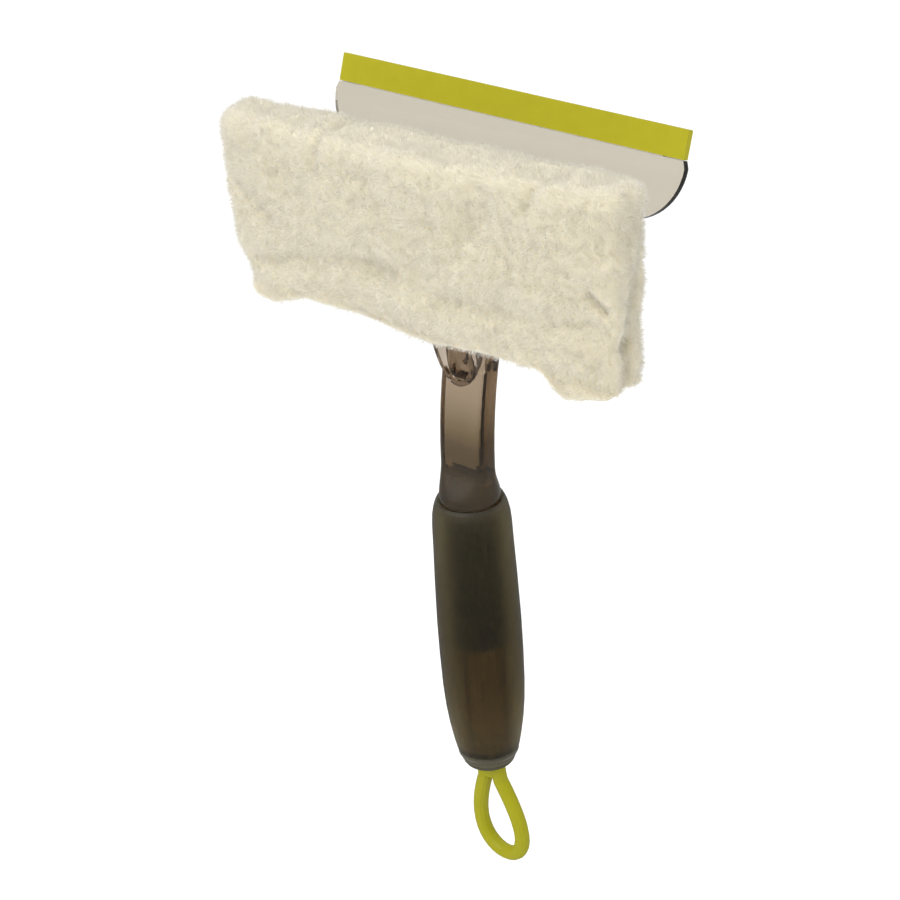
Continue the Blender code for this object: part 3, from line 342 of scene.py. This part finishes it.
def make_foam_material():
    material, tree, shader = new_material("open_cell_foam", "#dbd7cb", Roughness=0.95)
    place = add_node(tree, "ShaderNodeTexCoord").outputs["Object"]
    cells = add_node(tree, "ShaderNodeTexVoronoi", {"Vector": place, "Scale": 1000 / CELL_MM})
    rise = add_node(tree, "ShaderNodeMapRange", {"Value": cells.outputs["Distance"], "From Max": CELL_RIM})
    # Painted shade: the colour is darker towards the hollow of each cell.
    tree.links.new(mixed_colour(tree, rise.outputs["Result"], *CELL_PAINTED_SHADE), shader.inputs["Base Color"])
    add_relief(tree, shader, rise.outputs["Result"], depth_mm=0.4)
    return material


def merged_copy(name, node):
    """A new object with the CAD node's mesh, its loose triangles merged."""
    mesh = node.data.copy()
    bm = bmesh.new()
    bm.from_mesh(mesh)
    bmesh.ops.remove_doubles(bm, verts=bm.verts, dist=1e-5)
    bm.to_mesh(mesh)
    bm.free()
    mesh.name = name
    copy = bpy.data.objects.new(name, mesh)
    bpy.context.scene.collection.objects.link(copy)
    return copy


def as_plain_mesh(obj):
    """Replaces an object's mesh and modifiers by the mesh that they give."""
    graph = bpy.context.evaluated_depsgraph_get()
    mesh = bpy.data.meshes.new_from_object(obj.evaluated_get(graph))
    obj.modifiers.clear()
    obj.data = mesh
    mesh.name = obj.name
    return obj


def make_foam_pad(node_name, material):
    pad = merged_copy(node_name + "_cells", NODES[node_name])
    remesh = pad.modifiers.new("even_quads", "REMESH")
    remesh.mode = "VOXEL"
    remesh.voxel_size = FOAM_VOXEL
    as_plain_mesh(pad)
    for vertex in pad.data.vertices:
        dent = noise.noise(vertex.co * DENTS_PER_METRE) * DENT_DEPTH
        cell = noise.noise(vertex.co * CELLS_PER_METRE) * CELL_DEPTH
        vertex.co += vertex.normal * (dent + cell - PAD_SINK)
    pad.data.materials.clear()
    pad.data.materials.append(material)
    pad.data.shade_smooth()
    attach(pad, "handle")
    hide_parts(node_name)
    return pad


foam = make_foam_material()
for name in ("foam_pad_front", "foam_pad_rear"):
    pad = make_foam_pad(name, foam)
    print(pad.name, len(pad.data.polygons), "faces")

# %% [markdown]
# The scrubber's sleeve is a pocket of pile cloth, open below. It is sewn from a front and a back panel,
# with a seam down each end. A flat sheet could be wrapped round the foam, but a box of quads with no
# lower side is the same thing with less work, if its edges are rounded as the foam rounds them.
# The sleeve's size comes from its CAD node, and the few values below say how the real one departs from a
# box: it is wider at the top, thinner at the ends, its hem hangs in two lobes, and its top slopes a little.

# %% Cloth pocket
sleeve_low, sleeve_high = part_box("microfibre_sleeve")
LEFT_FLARE, LEFT_FULL = 0.0073, 0.45  # the left end is this much wider from this share of the height up
RIGHT_FLARE, RIGHT_FULL = 0.0050, 1.0
FLARE_POWER = 3  # the flare is near the ends, and the middle keeps its even quads
FULLER = 0.0013  # the cloth stands out this far past its solid at each end
HEM_HALF = sleeve_high.x - RIGHT_FLARE + FULLER  # half the hem's width
BACK_Y = sleeve_high.y
CROWN = 0.0056  # of the front, at the middle
END_FRONT_Y = sleeve_low.y + CROWN
HEM_DRAW = 0.0044  # the front's hem is drawn back to the foam this far, at the middle
HEM_DRAW_HEIGHT = 0.020
TOP_Z = sleeve_high.z + 0.0018  # at the right, a little over its solid
TOP_TILT = 0.0045  # the top rises this much from left to right
ROUND = 0.0065  # radius of the pocket's edges
HEM = (  # share of the half width, and how far the hem hangs below the paddle there
    (-1.00, 0.0045), (-0.86, 0.0089), (-0.62, 0.0022), (-0.31, 0.0013), (0.05, 0.0043),
    (0.36, 0.0020), (0.62, 0.0013), (0.76, 0.0112), (0.93, 0.0075), (1.00, 0.0055),
)
HEM_RAGGED = 0.0013  # the hem wanders up and down by this much, in waves of HEM_WAVE
HEM_WAVE = 0.0055
PADDLE_FOOT_Z = sleeve_low.z + max(drop for share, drop in HEM)
QUADS = (52, 8, 24)  # along X, Y and Z


def smooth_step(value):
    value = min(max(value, 0.0), 1.0)
    return value * value * (3 - 2 * value)


def hem_z(share):
    """Height of the hem at a share of the half width."""
    for (left, left_drop), (right, right_drop) in zip(HEM, HEM[1:]):
        if share <= right:
            break
    drop = left_drop + (right_drop - left_drop) * smooth_step((share - left) / (right - left))
    return PADDLE_FOOT_Z - drop + HEM_RAGGED * noise.noise(Vector((share * HEM_HALF / HEM_WAVE, 0, 0)))


def pocket_point(a, b, c):
    """A point of the pocket's rounded box. a, b and c run from 0 to 1 along X, Y and Z."""
    share = 2 * a - 1
    flare = RIGHT_FLARE * c / RIGHT_FULL if share > 0 else LEFT_FLARE * min(c / LEFT_FULL, 1.0)
    half = HEM_HALF + flare
    low, high = hem_z(share), TOP_Z - TOP_TILT * (1 - a)
    drawn = HEM_DRAW * (1 - smooth_step((high - low) * c / HEM_DRAW_HEIGHT))
    front = END_FRONT_Y - (CROWN - drawn) * (1 - share * share)
    point = Vector((
        share * HEM_HALF + math.copysign(flare * abs(share) ** FLARE_POWER, share),
        front + (BACK_Y - front) * b,
        low + (high - low) * c,
    ))
    core = Vector((
        min(max(point.x, ROUND - half), half - ROUND),
        min(max(point.y, front + ROUND), BACK_Y - ROUND),
        min(point.z, high - ROUND),
    ))
    past = point - core
    reach = max(abs(part) for part in past)
    return core + past * (reach / past.length) if reach > 1e-9 else core


def pocket_mesh(name):
    """Quads on five sides of the box. Returns the object and the numbers of its hem points."""
    nx, ny, nz = QUADS
    bm = bmesh.new()
    points = {}

    def corner(i, j, k):
        if (i, j, k) not in points:
            points[i, j, k] = bm.verts.new(pocket_point(i / nx, j / ny, k / nz))
        return points[i, j, k]

    def panel(count_a, count_b, place):
        for p in range(count_a):
            for q in range(count_b):
                bm.faces.new([corner(*place(*pq)) for pq in ((p, q), (p + 1, q), (p + 1, q + 1), (p, q + 1))])

    panel(nx, nz, lambda p, q: (p, 0, q))
    panel(nx, nz, lambda p, q: (nx - p, ny, q))
    panel(ny, nz, lambda p, q: (nx, p, q))
    panel(ny, nz, lambda p, q: (0, ny - p, q))
    panel(nx, ny, lambda p, q: (p, q, nz))
    bm.verts.index_update()
    hem = [v.index for (i, j, k), v in points.items() if k == 0]
    mesh = bpy.data.meshes.new(name)
    bm.to_mesh(mesh)
    bm.free()
    pocket = bpy.data.objects.new(name, mesh)
    bpy.context.scene.collection.objects.link(pocket)
    return pocket, hem


sleeve, hem_points = pocket_mesh("sleeve_pile_cloth")
print("pocket of", len(sleeve.data.polygons), "quads,", len(hem_points), "points on the hem")

# %% [markdown]
# Real cloth is never as even as a formula, so Blender's cloth solver finishes the shape. The hem is
# pinned, the cloth is made a few percent too large for its place, and a light pressure stands for the
# foam that pushes it out. The spare cloth then buckles into shallow folds. No point may move more than
# two millimetres, which keeps the pocket close to its CAD solid.

# %% Cloth simulation
SPARE_CLOTH = 0.06  # share by which the cloth is too large
FRAMES = 20
MOST_MOVE = 0.0020
STIFFNESS, SHEAR, BENDING = 15, 8, 3.0  # against stretch, skew and folds
PRESSURE = 0.5
GRAVITY = 0.3  # share of the real one, as foam carries most of the cloth's weight


def settle(cloth_object, pinned):
    """Runs the cloth solver and keeps its result in the mesh."""
    group = cloth_object.vertex_groups.new(name="pinned")
    group.add(pinned, 1.0, "REPLACE")
    cloth = cloth_object.modifiers.new("cloth", "CLOTH")
    settings = cloth.settings
    settings.quality = 6
    settings.mass = 0.3
    settings.tension_stiffness = settings.compression_stiffness = STIFFNESS
    settings.shear_stiffness = SHEAR
    settings.bending_stiffness = BENDING
    settings.shrink_min = -SPARE_CLOTH
    settings.use_pressure = True
    settings.uniform_pressure_force = PRESSURE
    settings.effector_weights.gravity = GRAVITY
    settings.vertex_group_mass = "pinned"
    cloth.point_cache.frame_start = 1
    cloth.point_cache.frame_end = FRAMES
    for step in range(1, FRAMES + 1):
        bpy.context.scene.frame_set(step)
    graph = bpy.context.evaluated_depsgraph_get()
    settled = cloth_object.evaluated_get(graph).data
    shifts = [moved.co - vertex.co for vertex, moved in zip(cloth_object.data.vertices, settled.vertices)]
    for vertex, shift in zip(cloth_object.data.vertices, shifts):
        vertex.co += shift * (min(shift.length, MOST_MOVE) / max(shift.length, 1e-9))
    cloth_object.modifiers.clear()
    cloth_object.vertex_groups.clear()
    bpy.context.scene.frame_set(1)
    return [shift.length for shift in shifts]


moves = settle(sleeve, hem_points)
print("cloth settled, mean move", round(sum(moves) / len(moves) * 1000, 2), "mm")
print("most", round(max(moves) * 1000, 2), "mm, of which", MOST_MOVE * 1000, "mm were kept")

# %% [markdown]
# The seams and creases are narrower than the solver's quads, so they come after it, once the mesh is
# finer. Each is a route of a few points with a width and a depth. A point of the cloth near the route
# sinks by a bell curve of its distance. The longest creases lie where the foam ends and the hem starts to
# hang. The end seams run from the top's back edge down to the middle of the hem, as the panels meet there.
# Noise of two sizes then adds the foam's broad lumps and the small rise and fall of the tufts.

# %% Creases, seams and lumps
CREASES = (  # route in metres, then width and depth
    ((  # below the foam, on the left
        (-0.089, -0.025, 0.2375), (-0.052, -0.027, 0.2465), (-0.033, -0.028, 0.2525),
        (-0.010, -0.029, 0.2505),
    ), 0.0055, 0.0018),
    ((  # below the foam, on the right
        (0.020, -0.029, 0.2465), (0.050, -0.027, 0.2490), (0.095, -0.024, 0.2515),
    ), 0.0055, 0.0018),
    ((  # over the top edge, on the left
        (-0.0452, -0.027, 0.2895), (-0.0445, -0.027, 0.3055), (-0.041, -0.002, 0.3055),
    ), 0.0028, 0.0022),
    ((  # over the top edge, on the right
        (0.063, -0.026, 0.2975), (0.067, -0.026, 0.3085), (0.069, -0.002, 0.3085),
    ), 0.0034, 0.0022),
    ((  # aslant across the middle
        (0.043, -0.029, 0.2900), (0.030, -0.029, 0.2740), (0.018, -0.029, 0.2600),
        (-0.015, -0.029, 0.2520),
    ), 0.0060, 0.0010),
    ((  # a short pucker beside the right end
        (0.089, -0.025, 0.2643), (0.101, -0.024, 0.2557),
    ), 0.0022, 0.0022),
    ((  # a short dent beside the left end
        (-0.096, -0.025, 0.2700), (-0.080, -0.026, 0.2600),
    ), 0.0040, 0.0014),
)
END_SEAM = (  # route in Y and Z, the same at both ends
    (-0.0020, 0.3020), (-0.0060, 0.2853), (-0.0100, 0.2627), (-0.0130, 0.2525), (-0.0150, 0.2230),
)
SEAM_WIDTH = 0.0032
SEAM_DEPTH = 0.0018
SEAM_FADE = 0.0010  # the seam fades out over about this much, from the end on to the faces
GATHER = (-0.0150, 0.2429)  # a small pit where the seam's end is gathered
GATHER_WIDTH = 0.0034
GATHER_DEPTH = 0.0040
LUMPS = ((0.020, 0.0024), (0.0046, 0.0006))  # size and height, of the foam's lumps and of the tufts


def distance_to_route(points, route):
    """Distance of each point of an array to a route of straight pieces."""
    best = np.full(len(points), 1.0)
    for start, end in zip(np.array(route)[:-1], np.array(route)[1:]):
        along = end - start
        part = np.clip((points - start) @ along / (along @ along), 0.0, 1.0)
        best = np.minimum(best, np.linalg.norm(points - start - part[:, None] * along, axis=1))
    return best


def bell(distance, width):
    return np.exp(-(distance / width) ** 2)


def crease_depth(points):
    """How far the cloth sinks at each point of its outer side."""
    depth = sum(deep * bell(distance_to_route(points, route), width) for route, width, deep in CREASES)
    at_end = 1 / (1 + np.exp((HEM_HALF - ROUND / 2 - np.abs(points[:, 0])) / SEAM_FADE))
    end_plane = points[:, 1:]
    depth += at_end * SEAM_DEPTH * bell(distance_to_route(end_plane, END_SEAM), SEAM_WIDTH)
    depth += at_end * GATHER_DEPTH * bell(np.linalg.norm(end_plane - np.array(GATHER), axis=1), GATHER_WIDTH)
    return depth


def vertex_arrays(mesh):
    """Places and normals of a mesh's points, as arrays."""
    places, normals = np.empty(len(mesh.vertices) * 3), np.empty(len(mesh.vertices) * 3)
    mesh.vertices.foreach_get("co", places)
    mesh.vertices.foreach_get("normal", normals)
    return places.reshape(-1, 3), normals.reshape(-1, 3)


def finish_pocket(cloth_object):
    """Subdivides the cloth, then sinks its creases and raises its lumps and tufts."""
    finer = cloth_object.modifiers.new("finer", "SUBSURF")
    finer.levels = finer.render_levels = 2
    as_plain_mesh(cloth_object)
    places, normals = vertex_arrays(cloth_object.data)
    rise = -crease_depth(places)
    for size, height in LUMPS:
        rise += height * np.array([noise.noise(Vector(place) / size) for place in places])
    cloth_object.data.vertices.foreach_set("co", (places + normals * rise[:, None]).ravel())
    cloth_object.data.update()


finish_pocket(sleeve)
print("pocket now has", len(sleeve.data.polygons), "quads")

# %% [markdown]
# The arm comes out of the pocket's back, so the back panel's hem has a notch for it. Its quads are
# taken away, and the pile will hide the ragged edge.

# %% Notch for the arm
NOTCH_HALF = 0.0165
NOTCH_TOP = PADDLE_FOOT_Z + 0.0170
NOTCH_ROUND = 0.0060


def in_notch(point):
    """Whether a point of the back panel lies in the notch's rounded outline."""
    if point.y < (END_FRONT_Y + BACK_Y) / 2:
        return False
    across = max(abs(point.x) - (NOTCH_HALF - NOTCH_ROUND), 0.0)
    up = max(point.z - (NOTCH_TOP - NOTCH_ROUND), 0.0)
    return math.hypot(across, up) < NOTCH_ROUND


def cut_notch(cloth_object):
    bm = bmesh.new()
    bm.from_mesh(cloth_object.data)
    inside = [face for face in bm.faces if in_notch(face.calc_center_median())]
    bmesh.ops.delete(bm, geom=inside, context="FACES")
    bm.to_mesh(cloth_object.data)
    bm.free()
    return len(inside)


print("notch of", cut_notch(sleeve), "quads")

# %% [markdown]
# The hem is folded inwards, as on most sewn pockets. The strip under the fold faces down, so that the pile
# hangs over the edge and hides it.

# %% Folded hem
HEM_FOLD = 0.0016


def fold_hem(cloth_object):
    """A narrow strip along every open edge of the cloth, turned in at a right angle."""
    bm = bmesh.new()
    bm.from_mesh(cloth_object.data)
    rim = [edge.link_loops[0] for edge in bm.edges if edge.is_boundary]
    edge_points = [vert for vert in bm.verts if vert.is_boundary]
    places = [vert.co - vert.normal * HEM_FOLD for vert in edge_points]
    inner = {vert: bm.verts.new(place) for vert, place in zip(edge_points, places)}
    for loop in rim:
        near, far = loop.vert, loop.link_loop_next.vert
        bm.faces.new((far, near, inner[near], inner[far]))
    bm.to_mesh(cloth_object.data)
    bm.free()
    return len(rim)


print("fold of", fold_hem(sleeve), "quads")

# %% [markdown]
# The pile is microfibre yarn: short and dense, with thicker ends that stand out of it in tufts. A particle
# system would draw it, but the exported model could not hold it, so Geometry Nodes grow it as real strands.
# This tree scatters roots on the cloth and puts a short line on each. A root keeps its number, its place
# and the way that the cloth faces there, because the points of its line need them later.

# %% Roots of the strands
LINE_LENGTH = 0.0001  # of the line on each root, before its points get their places


def keep_on_points(tree, geometry, values):
    """Keeps values on a geometry's points. Each has a name, a data type and the value itself."""
    for name, kind, value in values:
        geometry = add_node(
            tree, "GeometryNodeStoreNamedAttribute", {"Geometry": geometry, "Name": name, "Value": value},
            data_type=kind, domain="POINT",
        ).outputs["Geometry"]
    return geometry


def add_lines(tree, given):
    """A line on each of the roots that are scattered on the cloth."""
    roots = add_node(tree, "GeometryNodeDistributePointsOnFaces", {
        "Mesh": given["Geometry"], "Density": given["Strands per m2"], "Seed": given["Seed"],
    })
    points = keep_on_points(tree, roots.outputs["Points"], (
        ("turn", "QUATERNION", roots.outputs["Rotation"]),
        ("root", "INT", add_node(tree, "GeometryNodeInputIndex").outputs["Index"]),
        ("root_place", "FLOAT_VECTOR", add_node(tree, "GeometryNodeInputPosition").outputs["Position"]),
    ))
    line = add_node(tree, "GeometryNodeCurvePrimitiveLine", {"End": (0.0, 0.0, LINE_LENGTH)})
    lines = add_node(tree, "GeometryNodeInstanceOnPoints", {
        "Points": points, "Instance": line.outputs["Curve"]
    })
    lines = add_node(tree, "GeometryNodeRealizeInstances", {"Geometry": lines.outputs["Instances"]})
    return lines.outputs["Geometry"]


print("roots and lines of", LINE_LENGTH * 1000, "mm")

# %% [markdown]
# A strand stands on its root, as high as its tuft is full, and leans beside its root. Noise on the root's
# place does that for whole tufts, as its lumps are as wide as they are, and random numbers do it for each
# strand. The lean grows along the strand, so that its foot stays on its root.

# %% Places of the strands
STRAND_HEIGHTS = (0.7, 1.2)  # of the shortest and the longest strand, as shares of Height
TUFT_HEIGHTS = (0.25, 2.0)  # of the thinnest and the fullest tuft, as shares again
NOISE_ENDS = (0.3, 0.7)  # nearly all of the noise lies between these
TUFT_LEAN = 0.8  # spread of the lean that a tuft's strands share, as a share of Lean
DRAWS = {"height": 1, "X": 5, "Y": 6, "tone": 9}  # what each random number adds to the seed


def strand_random(tree, given, low, high, draw):
    """A random number for each strand. Inputs 2 and 3 and output 1 are those for plain numbers."""
    root = add_node(tree, "GeometryNodeInputNamedAttribute", {"Name": "root"}, data_type="INT").outputs[0]
    seed = add_node(tree, "ShaderNodeMath", {0: given["Seed"], 1: DRAWS[draw]}, operation="ADD")
    seed = seed.outputs["Value"]
    return add_node(
        tree, "FunctionNodeRandomValue", {2: low, 3: high, "ID": root, "Seed": seed}, data_type="FLOAT"
    ).outputs[1]


def strand_places(tree, given, along):
    """Where each point of a strand lies. along is its way from the root to the tip, from 0 to 1."""
    root_place, turn = (
        add_node(tree, "GeometryNodeInputNamedAttribute", {"Name": name}, data_type=kind).outputs[0]
        for name, kind in (("root_place", "FLOAT_VECTOR"), ("turn", "QUATERNION"))
    )
    scale = add_node(tree, "ShaderNodeMath", {0: 1.0, 1: given["Tuft size"]}, operation="DIVIDE")
    tufts = add_node(tree, "ShaderNodeTexNoise", {
        "Vector": root_place, "Scale": scale.outputs["Value"], "Detail": 1.0
    })
    tuft = add_node(tree, "ShaderNodeSeparateXYZ", {"Vector": tufts.outputs["Color"]}).outputs
    fullness = add_node(tree, "ShaderNodeMapRange", {
        "Value": tuft["Z"], "From Min": NOISE_ENDS[0], "From Max": NOISE_ENDS[1],
        "To Min": TUFT_HEIGHTS[0], "To Max": TUFT_HEIGHTS[1],
    }).outputs["Result"]
    rise = given["Height"]
    for share in (strand_random(tree, given, *STRAND_HEIGHTS, "height"), fullness, along):
        rise = add_node(tree, "ShaderNodeMath", {0: rise, 1: share}, operation="MULTIPLY").outputs["Value"]

    def sideways(axis):
        """How far the point lies beside its root: with its tuft, and by its strand's own lean."""
        way = tuft[axis]
        own_lean = strand_random(tree, given, -1.0, 1.0, axis)
        for operation, other in (
            ("SUBTRACT", 0.5), ("MULTIPLY", TUFT_LEAN), ("ADD", own_lean), ("MULTIPLY", given["Lean"]),
            ("MULTIPLY", along),
        ):
            way = add_node(tree, "ShaderNodeMath", {0: way, 1: other}, operation=operation).outputs["Value"]
        return way

    bent = add_node(tree, "ShaderNodeCombineXYZ", {"X": sideways("X"), "Y": sideways("Y"), "Z": rise})
    turned = add_node(tree, "FunctionNodeRotateVector", {"Vector": bent.outputs["Vector"], "Rotation": turn})
    return add_node(tree, "ShaderNodeVectorMath", {
        0: root_place, 1: turned.outputs["Vector"]
    }, operation="ADD").outputs["Vector"]


print("tufts lean by up to", TUFT_LEAN / 2, "of Lean, and strands by up to 1")

# %% [markdown]
# Last, a thin triangle that narrows towards the tip is swept along each line, which makes it yarn. A strand
# keeps two numbers for the material: the way along it from root to tip, and its own tone. All sizes are
# inputs of the tree, because it runs twice, once for the dense pile and once for the tufts.

# %% Strand tree
TAPER = 0.5  # the tip is this share thinner than the root
TREE_INPUTS = {
    "Strands per m2": "Float", "Height": "Float", "Thickness": "Float", "Lean": "Float",
    "Tuft size": "Float", "Seed": "Int", "Material": "Material",
}


def add_yarn(tree, given, strands, along):
    """A thread of three sides along each strand."""
    profile = add_node(tree, "GeometryNodeCurvePrimitiveCircle", {"Resolution": 3, "Radius": 0.5})
    narrowed = add_node(tree, "ShaderNodeMapRange", {"Value": along, "To Min": 1.0, "To Max": 1 - TAPER})
    width = add_node(tree, "ShaderNodeMath", {
        0: given["Thickness"], 1: narrowed.outputs["Result"]
    }, operation="MULTIPLY")
    yarn = add_node(tree, "GeometryNodeCurveToMesh", {
        "Curve": strands, "Profile Curve": profile.outputs["Curve"], "Scale": width.outputs["Value"],
        "Fill Caps": True,
    })
    yarn = add_node(tree, "GeometryNodeSetShadeSmooth", {"Geometry": yarn.outputs["Mesh"]})
    yarn = add_node(tree, "GeometryNodeRealizeInstances", {"Geometry": yarn.outputs["Geometry"]})
    return add_node(tree, "GeometryNodeSetMaterial", {
        "Geometry": yarn.outputs["Geometry"], "Material": given["Material"]
    }).outputs["Geometry"]


def pile_tree():
    """Strands on a mesh's faces. Returns the tree and its inputs' identifiers by name."""
    tree = bpy.data.node_groups.new("pile_strands", "GeometryNodeTree")
    tree.interface.new_socket("Geometry", in_out="INPUT", socket_type="NodeSocketGeometry")
    identifiers = {
        name: tree.interface.new_socket(name, in_out="INPUT", socket_type="NodeSocket" + kind).identifier
        for name, kind in TREE_INPUTS.items()
    }
    tree.interface.new_socket("Geometry", in_out="OUTPUT", socket_type="NodeSocketGeometry")
    given = add_node(tree, "NodeGroupInput").outputs
    along = add_node(tree, "GeometryNodeSplineParameter").outputs["Factor"]
    strands = add_node(tree, "GeometryNodeSetPosition", {
        "Geometry": add_lines(tree, given), "Position": strand_places(tree, given, along)
    })
    strands = keep_on_points(tree, strands.outputs["Geometry"], (
        ("along", "FLOAT", along), ("tone", "FLOAT", strand_random(tree, given, 0.0, 1.0, "tone")),
    ))
    add_node(tree, "NodeGroupOutput", {"Geometry": add_yarn(tree, given, strands, along)})
    return tree, identifiers


strand_tree, strand_inputs = pile_tree()
print("strand tree with", len(strand_tree.nodes), "nodes")

# %% [markdown]
# Microfibre yarn is polyester and nylon, split finer than silk and left undyed, so it is a warm cream.
# Light goes in among the strands and bounces about, so the pile looks soft and nearly without gloss. Its
# roots are painted a little warmer and darker than its tips, and its nap darker between its curls, as painted
# shade.

# %% Pile and backing materials
# Painted shade: the roots are coloured darker and warmer than the tips.
PILE_SHADED_ROOT, PILE_TIP = "#dfd8c1", "#e5dec8"
NAP_HOLLOW_SHADE = "#d8d0ba"  # painted shade between the curls of the pile's foot
TONES = (0.97, 1.02)  # brightness of the darkest and the lightest strand
RIB_SCALE = 1000 / 24  # ribs about 9 mm apart, coarser than the real knit's, so that they show


def soften(shader):
    """Lets light pass into the yarn and out again, as it does among fibres this fine."""
    shader.inputs["Subsurface Radius"].default_value = (1.0, 0.9, 0.7)
    shader.inputs["Subsurface Scale"].default_value = 0.0020
    shader.inputs["Subsurface Weight"].default_value = 0.8


def make_pile_material():
    material, tree, shader = new_material("cream_microfibre_pile", PILE_TIP, Roughness=1.0)
    soften(shader)
    along, tone = (
        add_node(tree, "ShaderNodeAttribute", attribute_name=name).outputs["Fac"]
        for name in ("along", "tone")
    )
    value = add_node(tree, "ShaderNodeMapRange", {"Value": tone, "To Min": TONES[0], "To Max": TONES[1]})
    # Painted shade darkens each strand towards its root, and the tone differs at random from strand to
    # strand.
    varied = add_node(tree, "ShaderNodeHueSaturation", {
        "Color": mixed_colour(tree, along, PILE_SHADED_ROOT, PILE_TIP), "Value": value.outputs["Result"]
    })
    tree.links.new(varied.outputs["Color"], shader.inputs["Base Color"])
    return material


def make_nap_material():
    """The dense foot of the pile, which the strands stand in."""
    material, tree, shader = new_material("cream_microfibre_nap", PILE_SHADED_ROOT, Roughness=1.0)
    soften(shader)
    curls = object_noise(tree, grain_mm=0.9, detail=3.0)
    # Painted shade: darker between the curls, lighter on them.
    tree.links.new(mixed_colour(tree, curls, NAP_HOLLOW_SHADE, PILE_TIP), shader.inputs["Base Color"])
    add_relief(tree, shader, curls, depth_mm=0.2)
    return material


def make_backing_material():
    material, tree, shader = new_material("knitted_polyester_backing", "#d9cfb6", Roughness=0.9)
    place = add_node(tree, "ShaderNodeTexCoord").outputs["Object"]
    knit = add_node(tree, "ShaderNodeTexWave", {
        "Vector": place, "Scale": RIB_SCALE, "Distortion": 1.0, "Detail": 1.0
    }, bands_direction="DIAGONAL")
    add_relief(tree, shader, knit.outputs["Fac"], depth_mm=0.3)
    return material


pile_material = make_pile_material()
nap_material = make_nap_material()
backing_material = make_backing_material()
print("cloth materials made")

# %% [markdown]
# The pile grows on the thin cloth, before the cloth gets its thickness, so that only the outer side has
# strands. The thickness then goes inwards, and the pile keeps its place outside. The dense pile makes the
# soft face of the cloth, and the fewer, thicker ends of yarn make its tufts and its crumbly outline.

# %% Grow the pile
BACKING_THICKNESS = 0.0014
PILE = {
    "Strands per m2": 2.8e6, "Height": 0.0012, "Thickness": 0.00010, "Lean": 0.0004, "Tuft size": 0.0019,
    "Seed": 7,
}
TUFTS = {
    "Strands per m2": 8.5e5, "Height": 0.0012, "Thickness": 0.00021, "Lean": 0.0004, "Tuft size": 0.0026,
    "Seed": 8,
}


def give_wall(cloth_object):
    """Thickens the cloth inwards. Its inner side takes the second material."""
    wall = cloth_object.modifiers.new("wall", "SOLIDIFY")
    wall.thickness = BACKING_THICKNESS
    wall.offset = -1.0
    wall.material_offset = 1
    as_plain_mesh(cloth_object)


def grow_pile(cloth_object, sizes):
    """Strands of the given sizes on a thin cloth, as a mesh of its own."""
    holder = bpy.data.objects.new("pile", cloth_object.data.copy())
    bpy.context.scene.collection.objects.link(holder)
    strands = holder.modifiers.new("strands", "NODES")
    strands.node_group = strand_tree
    for name, value in sizes.items():
        strands[strand_inputs[name]] = value
    strands[strand_inputs["Material"]] = pile_material
    return as_plain_mesh(holder)


def join(target, other):
    """Adds other's mesh to target's. Both lie at the origin."""
    bpy.ops.object.select_all(action="DESELECT")
    other.select_set(True)
    target.select_set(True)
    bpy.context.view_layer.objects.active = target
    bpy.ops.object.join()


sleeve.data.shade_smooth()
pile = grow_pile(sleeve, PILE)
tufts = grow_pile(sleeve, TUFTS)
sleeve.data.materials.append(nap_material)
sleeve.data.materials.append(backing_material)
give_wall(sleeve)
print("pile of", len(pile.data.polygons), "faces and tufts of", len(tufts.data.polygons))
join(sleeve, pile)
join(sleeve, tufts)
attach(sleeve, "sleeve")
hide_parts("microfibre_sleeve")

# %% [markdown]
# The object hangs in plain studio light, over a pale floor. A bright ceiling gives the soft light that a
# white tent gives. The walls are dimmer, and polished faces don't mirror the floor, as a photographer
# puts dark cards round glass for that. One large soft lamp from the front shows the forms.

# %% Floor and light
FLOOR_Z = cad_box[0].z - 0.30  # so far below the loop that its shadow is faint
FLOOR_HALF = 60.0  # so wide that its edge is at the horizon
KEY_PLACE = Vector((0.0, -1.9, 1.8))
KEY_AIM = Vector((0.0, 0.0, 0.2))
KEY_SIZE = 1.4
KEY_WATTS = 22.0
WALLS, CEILING = 0.35, 1.3  # strength of the light from the sides and below, and from above
WALLS_TO, CEILING_FROM = -0.05, 0.9  # heights in the sky, -1 to 1, between which it passes over


def add_floor():
    mesh = bpy.data.meshes.new("floor")
    bm = bmesh.new()
    bmesh.ops.create_grid(bm, x_segments=1, y_segments=1, size=FLOOR_HALF)
    bmesh.ops.translate(bm, verts=bm.verts, vec=(0, 0, FLOOR_Z))
    bm.to_mesh(mesh)
    bm.free()
    floor = bpy.data.objects.new("floor", mesh)
    bpy.context.scene.collection.objects.link(floor)
    mesh.materials.append(new_material("white_paper_floor", "#fdfdfd", Roughness=0.9)[0])
    floor.visible_glossy = False


def add_key():
    data = bpy.data.lights.new("key", "AREA")
    data.size = KEY_SIZE
    data.energy = KEY_WATTS
    key = bpy.data.objects.new("key", data)
    key.location = KEY_PLACE
    key.rotation_euler = (KEY_AIM - KEY_PLACE).to_track_quat("-Z", "Y").to_euler()
    bpy.context.scene.collection.objects.link(key)


def add_sky():
    """Light from all round, dim at the height of the object and below, and bright above."""
    world = bpy.data.worlds.new("studio")
    world.use_nodes = True
    tree = world.node_tree
    tree.nodes.clear()
    direction = add_node(tree, "ShaderNodeTexCoord").outputs["Generated"]
    rise = add_node(tree, "ShaderNodeSeparateXYZ", {"Vector": direction}).outputs["Z"]
    strength = add_node(tree, "ShaderNodeMapRange", {
        "Value": rise, "From Min": WALLS_TO, "From Max": CEILING_FROM, "To Min": WALLS, "To Max": CEILING
    }, interpolation_type="SMOOTHSTEP").outputs["Result"]
    sky = add_node(tree, "ShaderNodeBackground", {"Color": linear("#ffffff"), "Strength": strength})
    add_node(tree, "ShaderNodeOutputWorld", {"Surface": sky.outputs["Background"]})
    bpy.context.scene.world = world


add_floor()
add_key()
add_sky()
bpy.context.scene.view_settings.view_transform = "Standard"
print("floor at", round(FLOOR_Z, 3), "m")
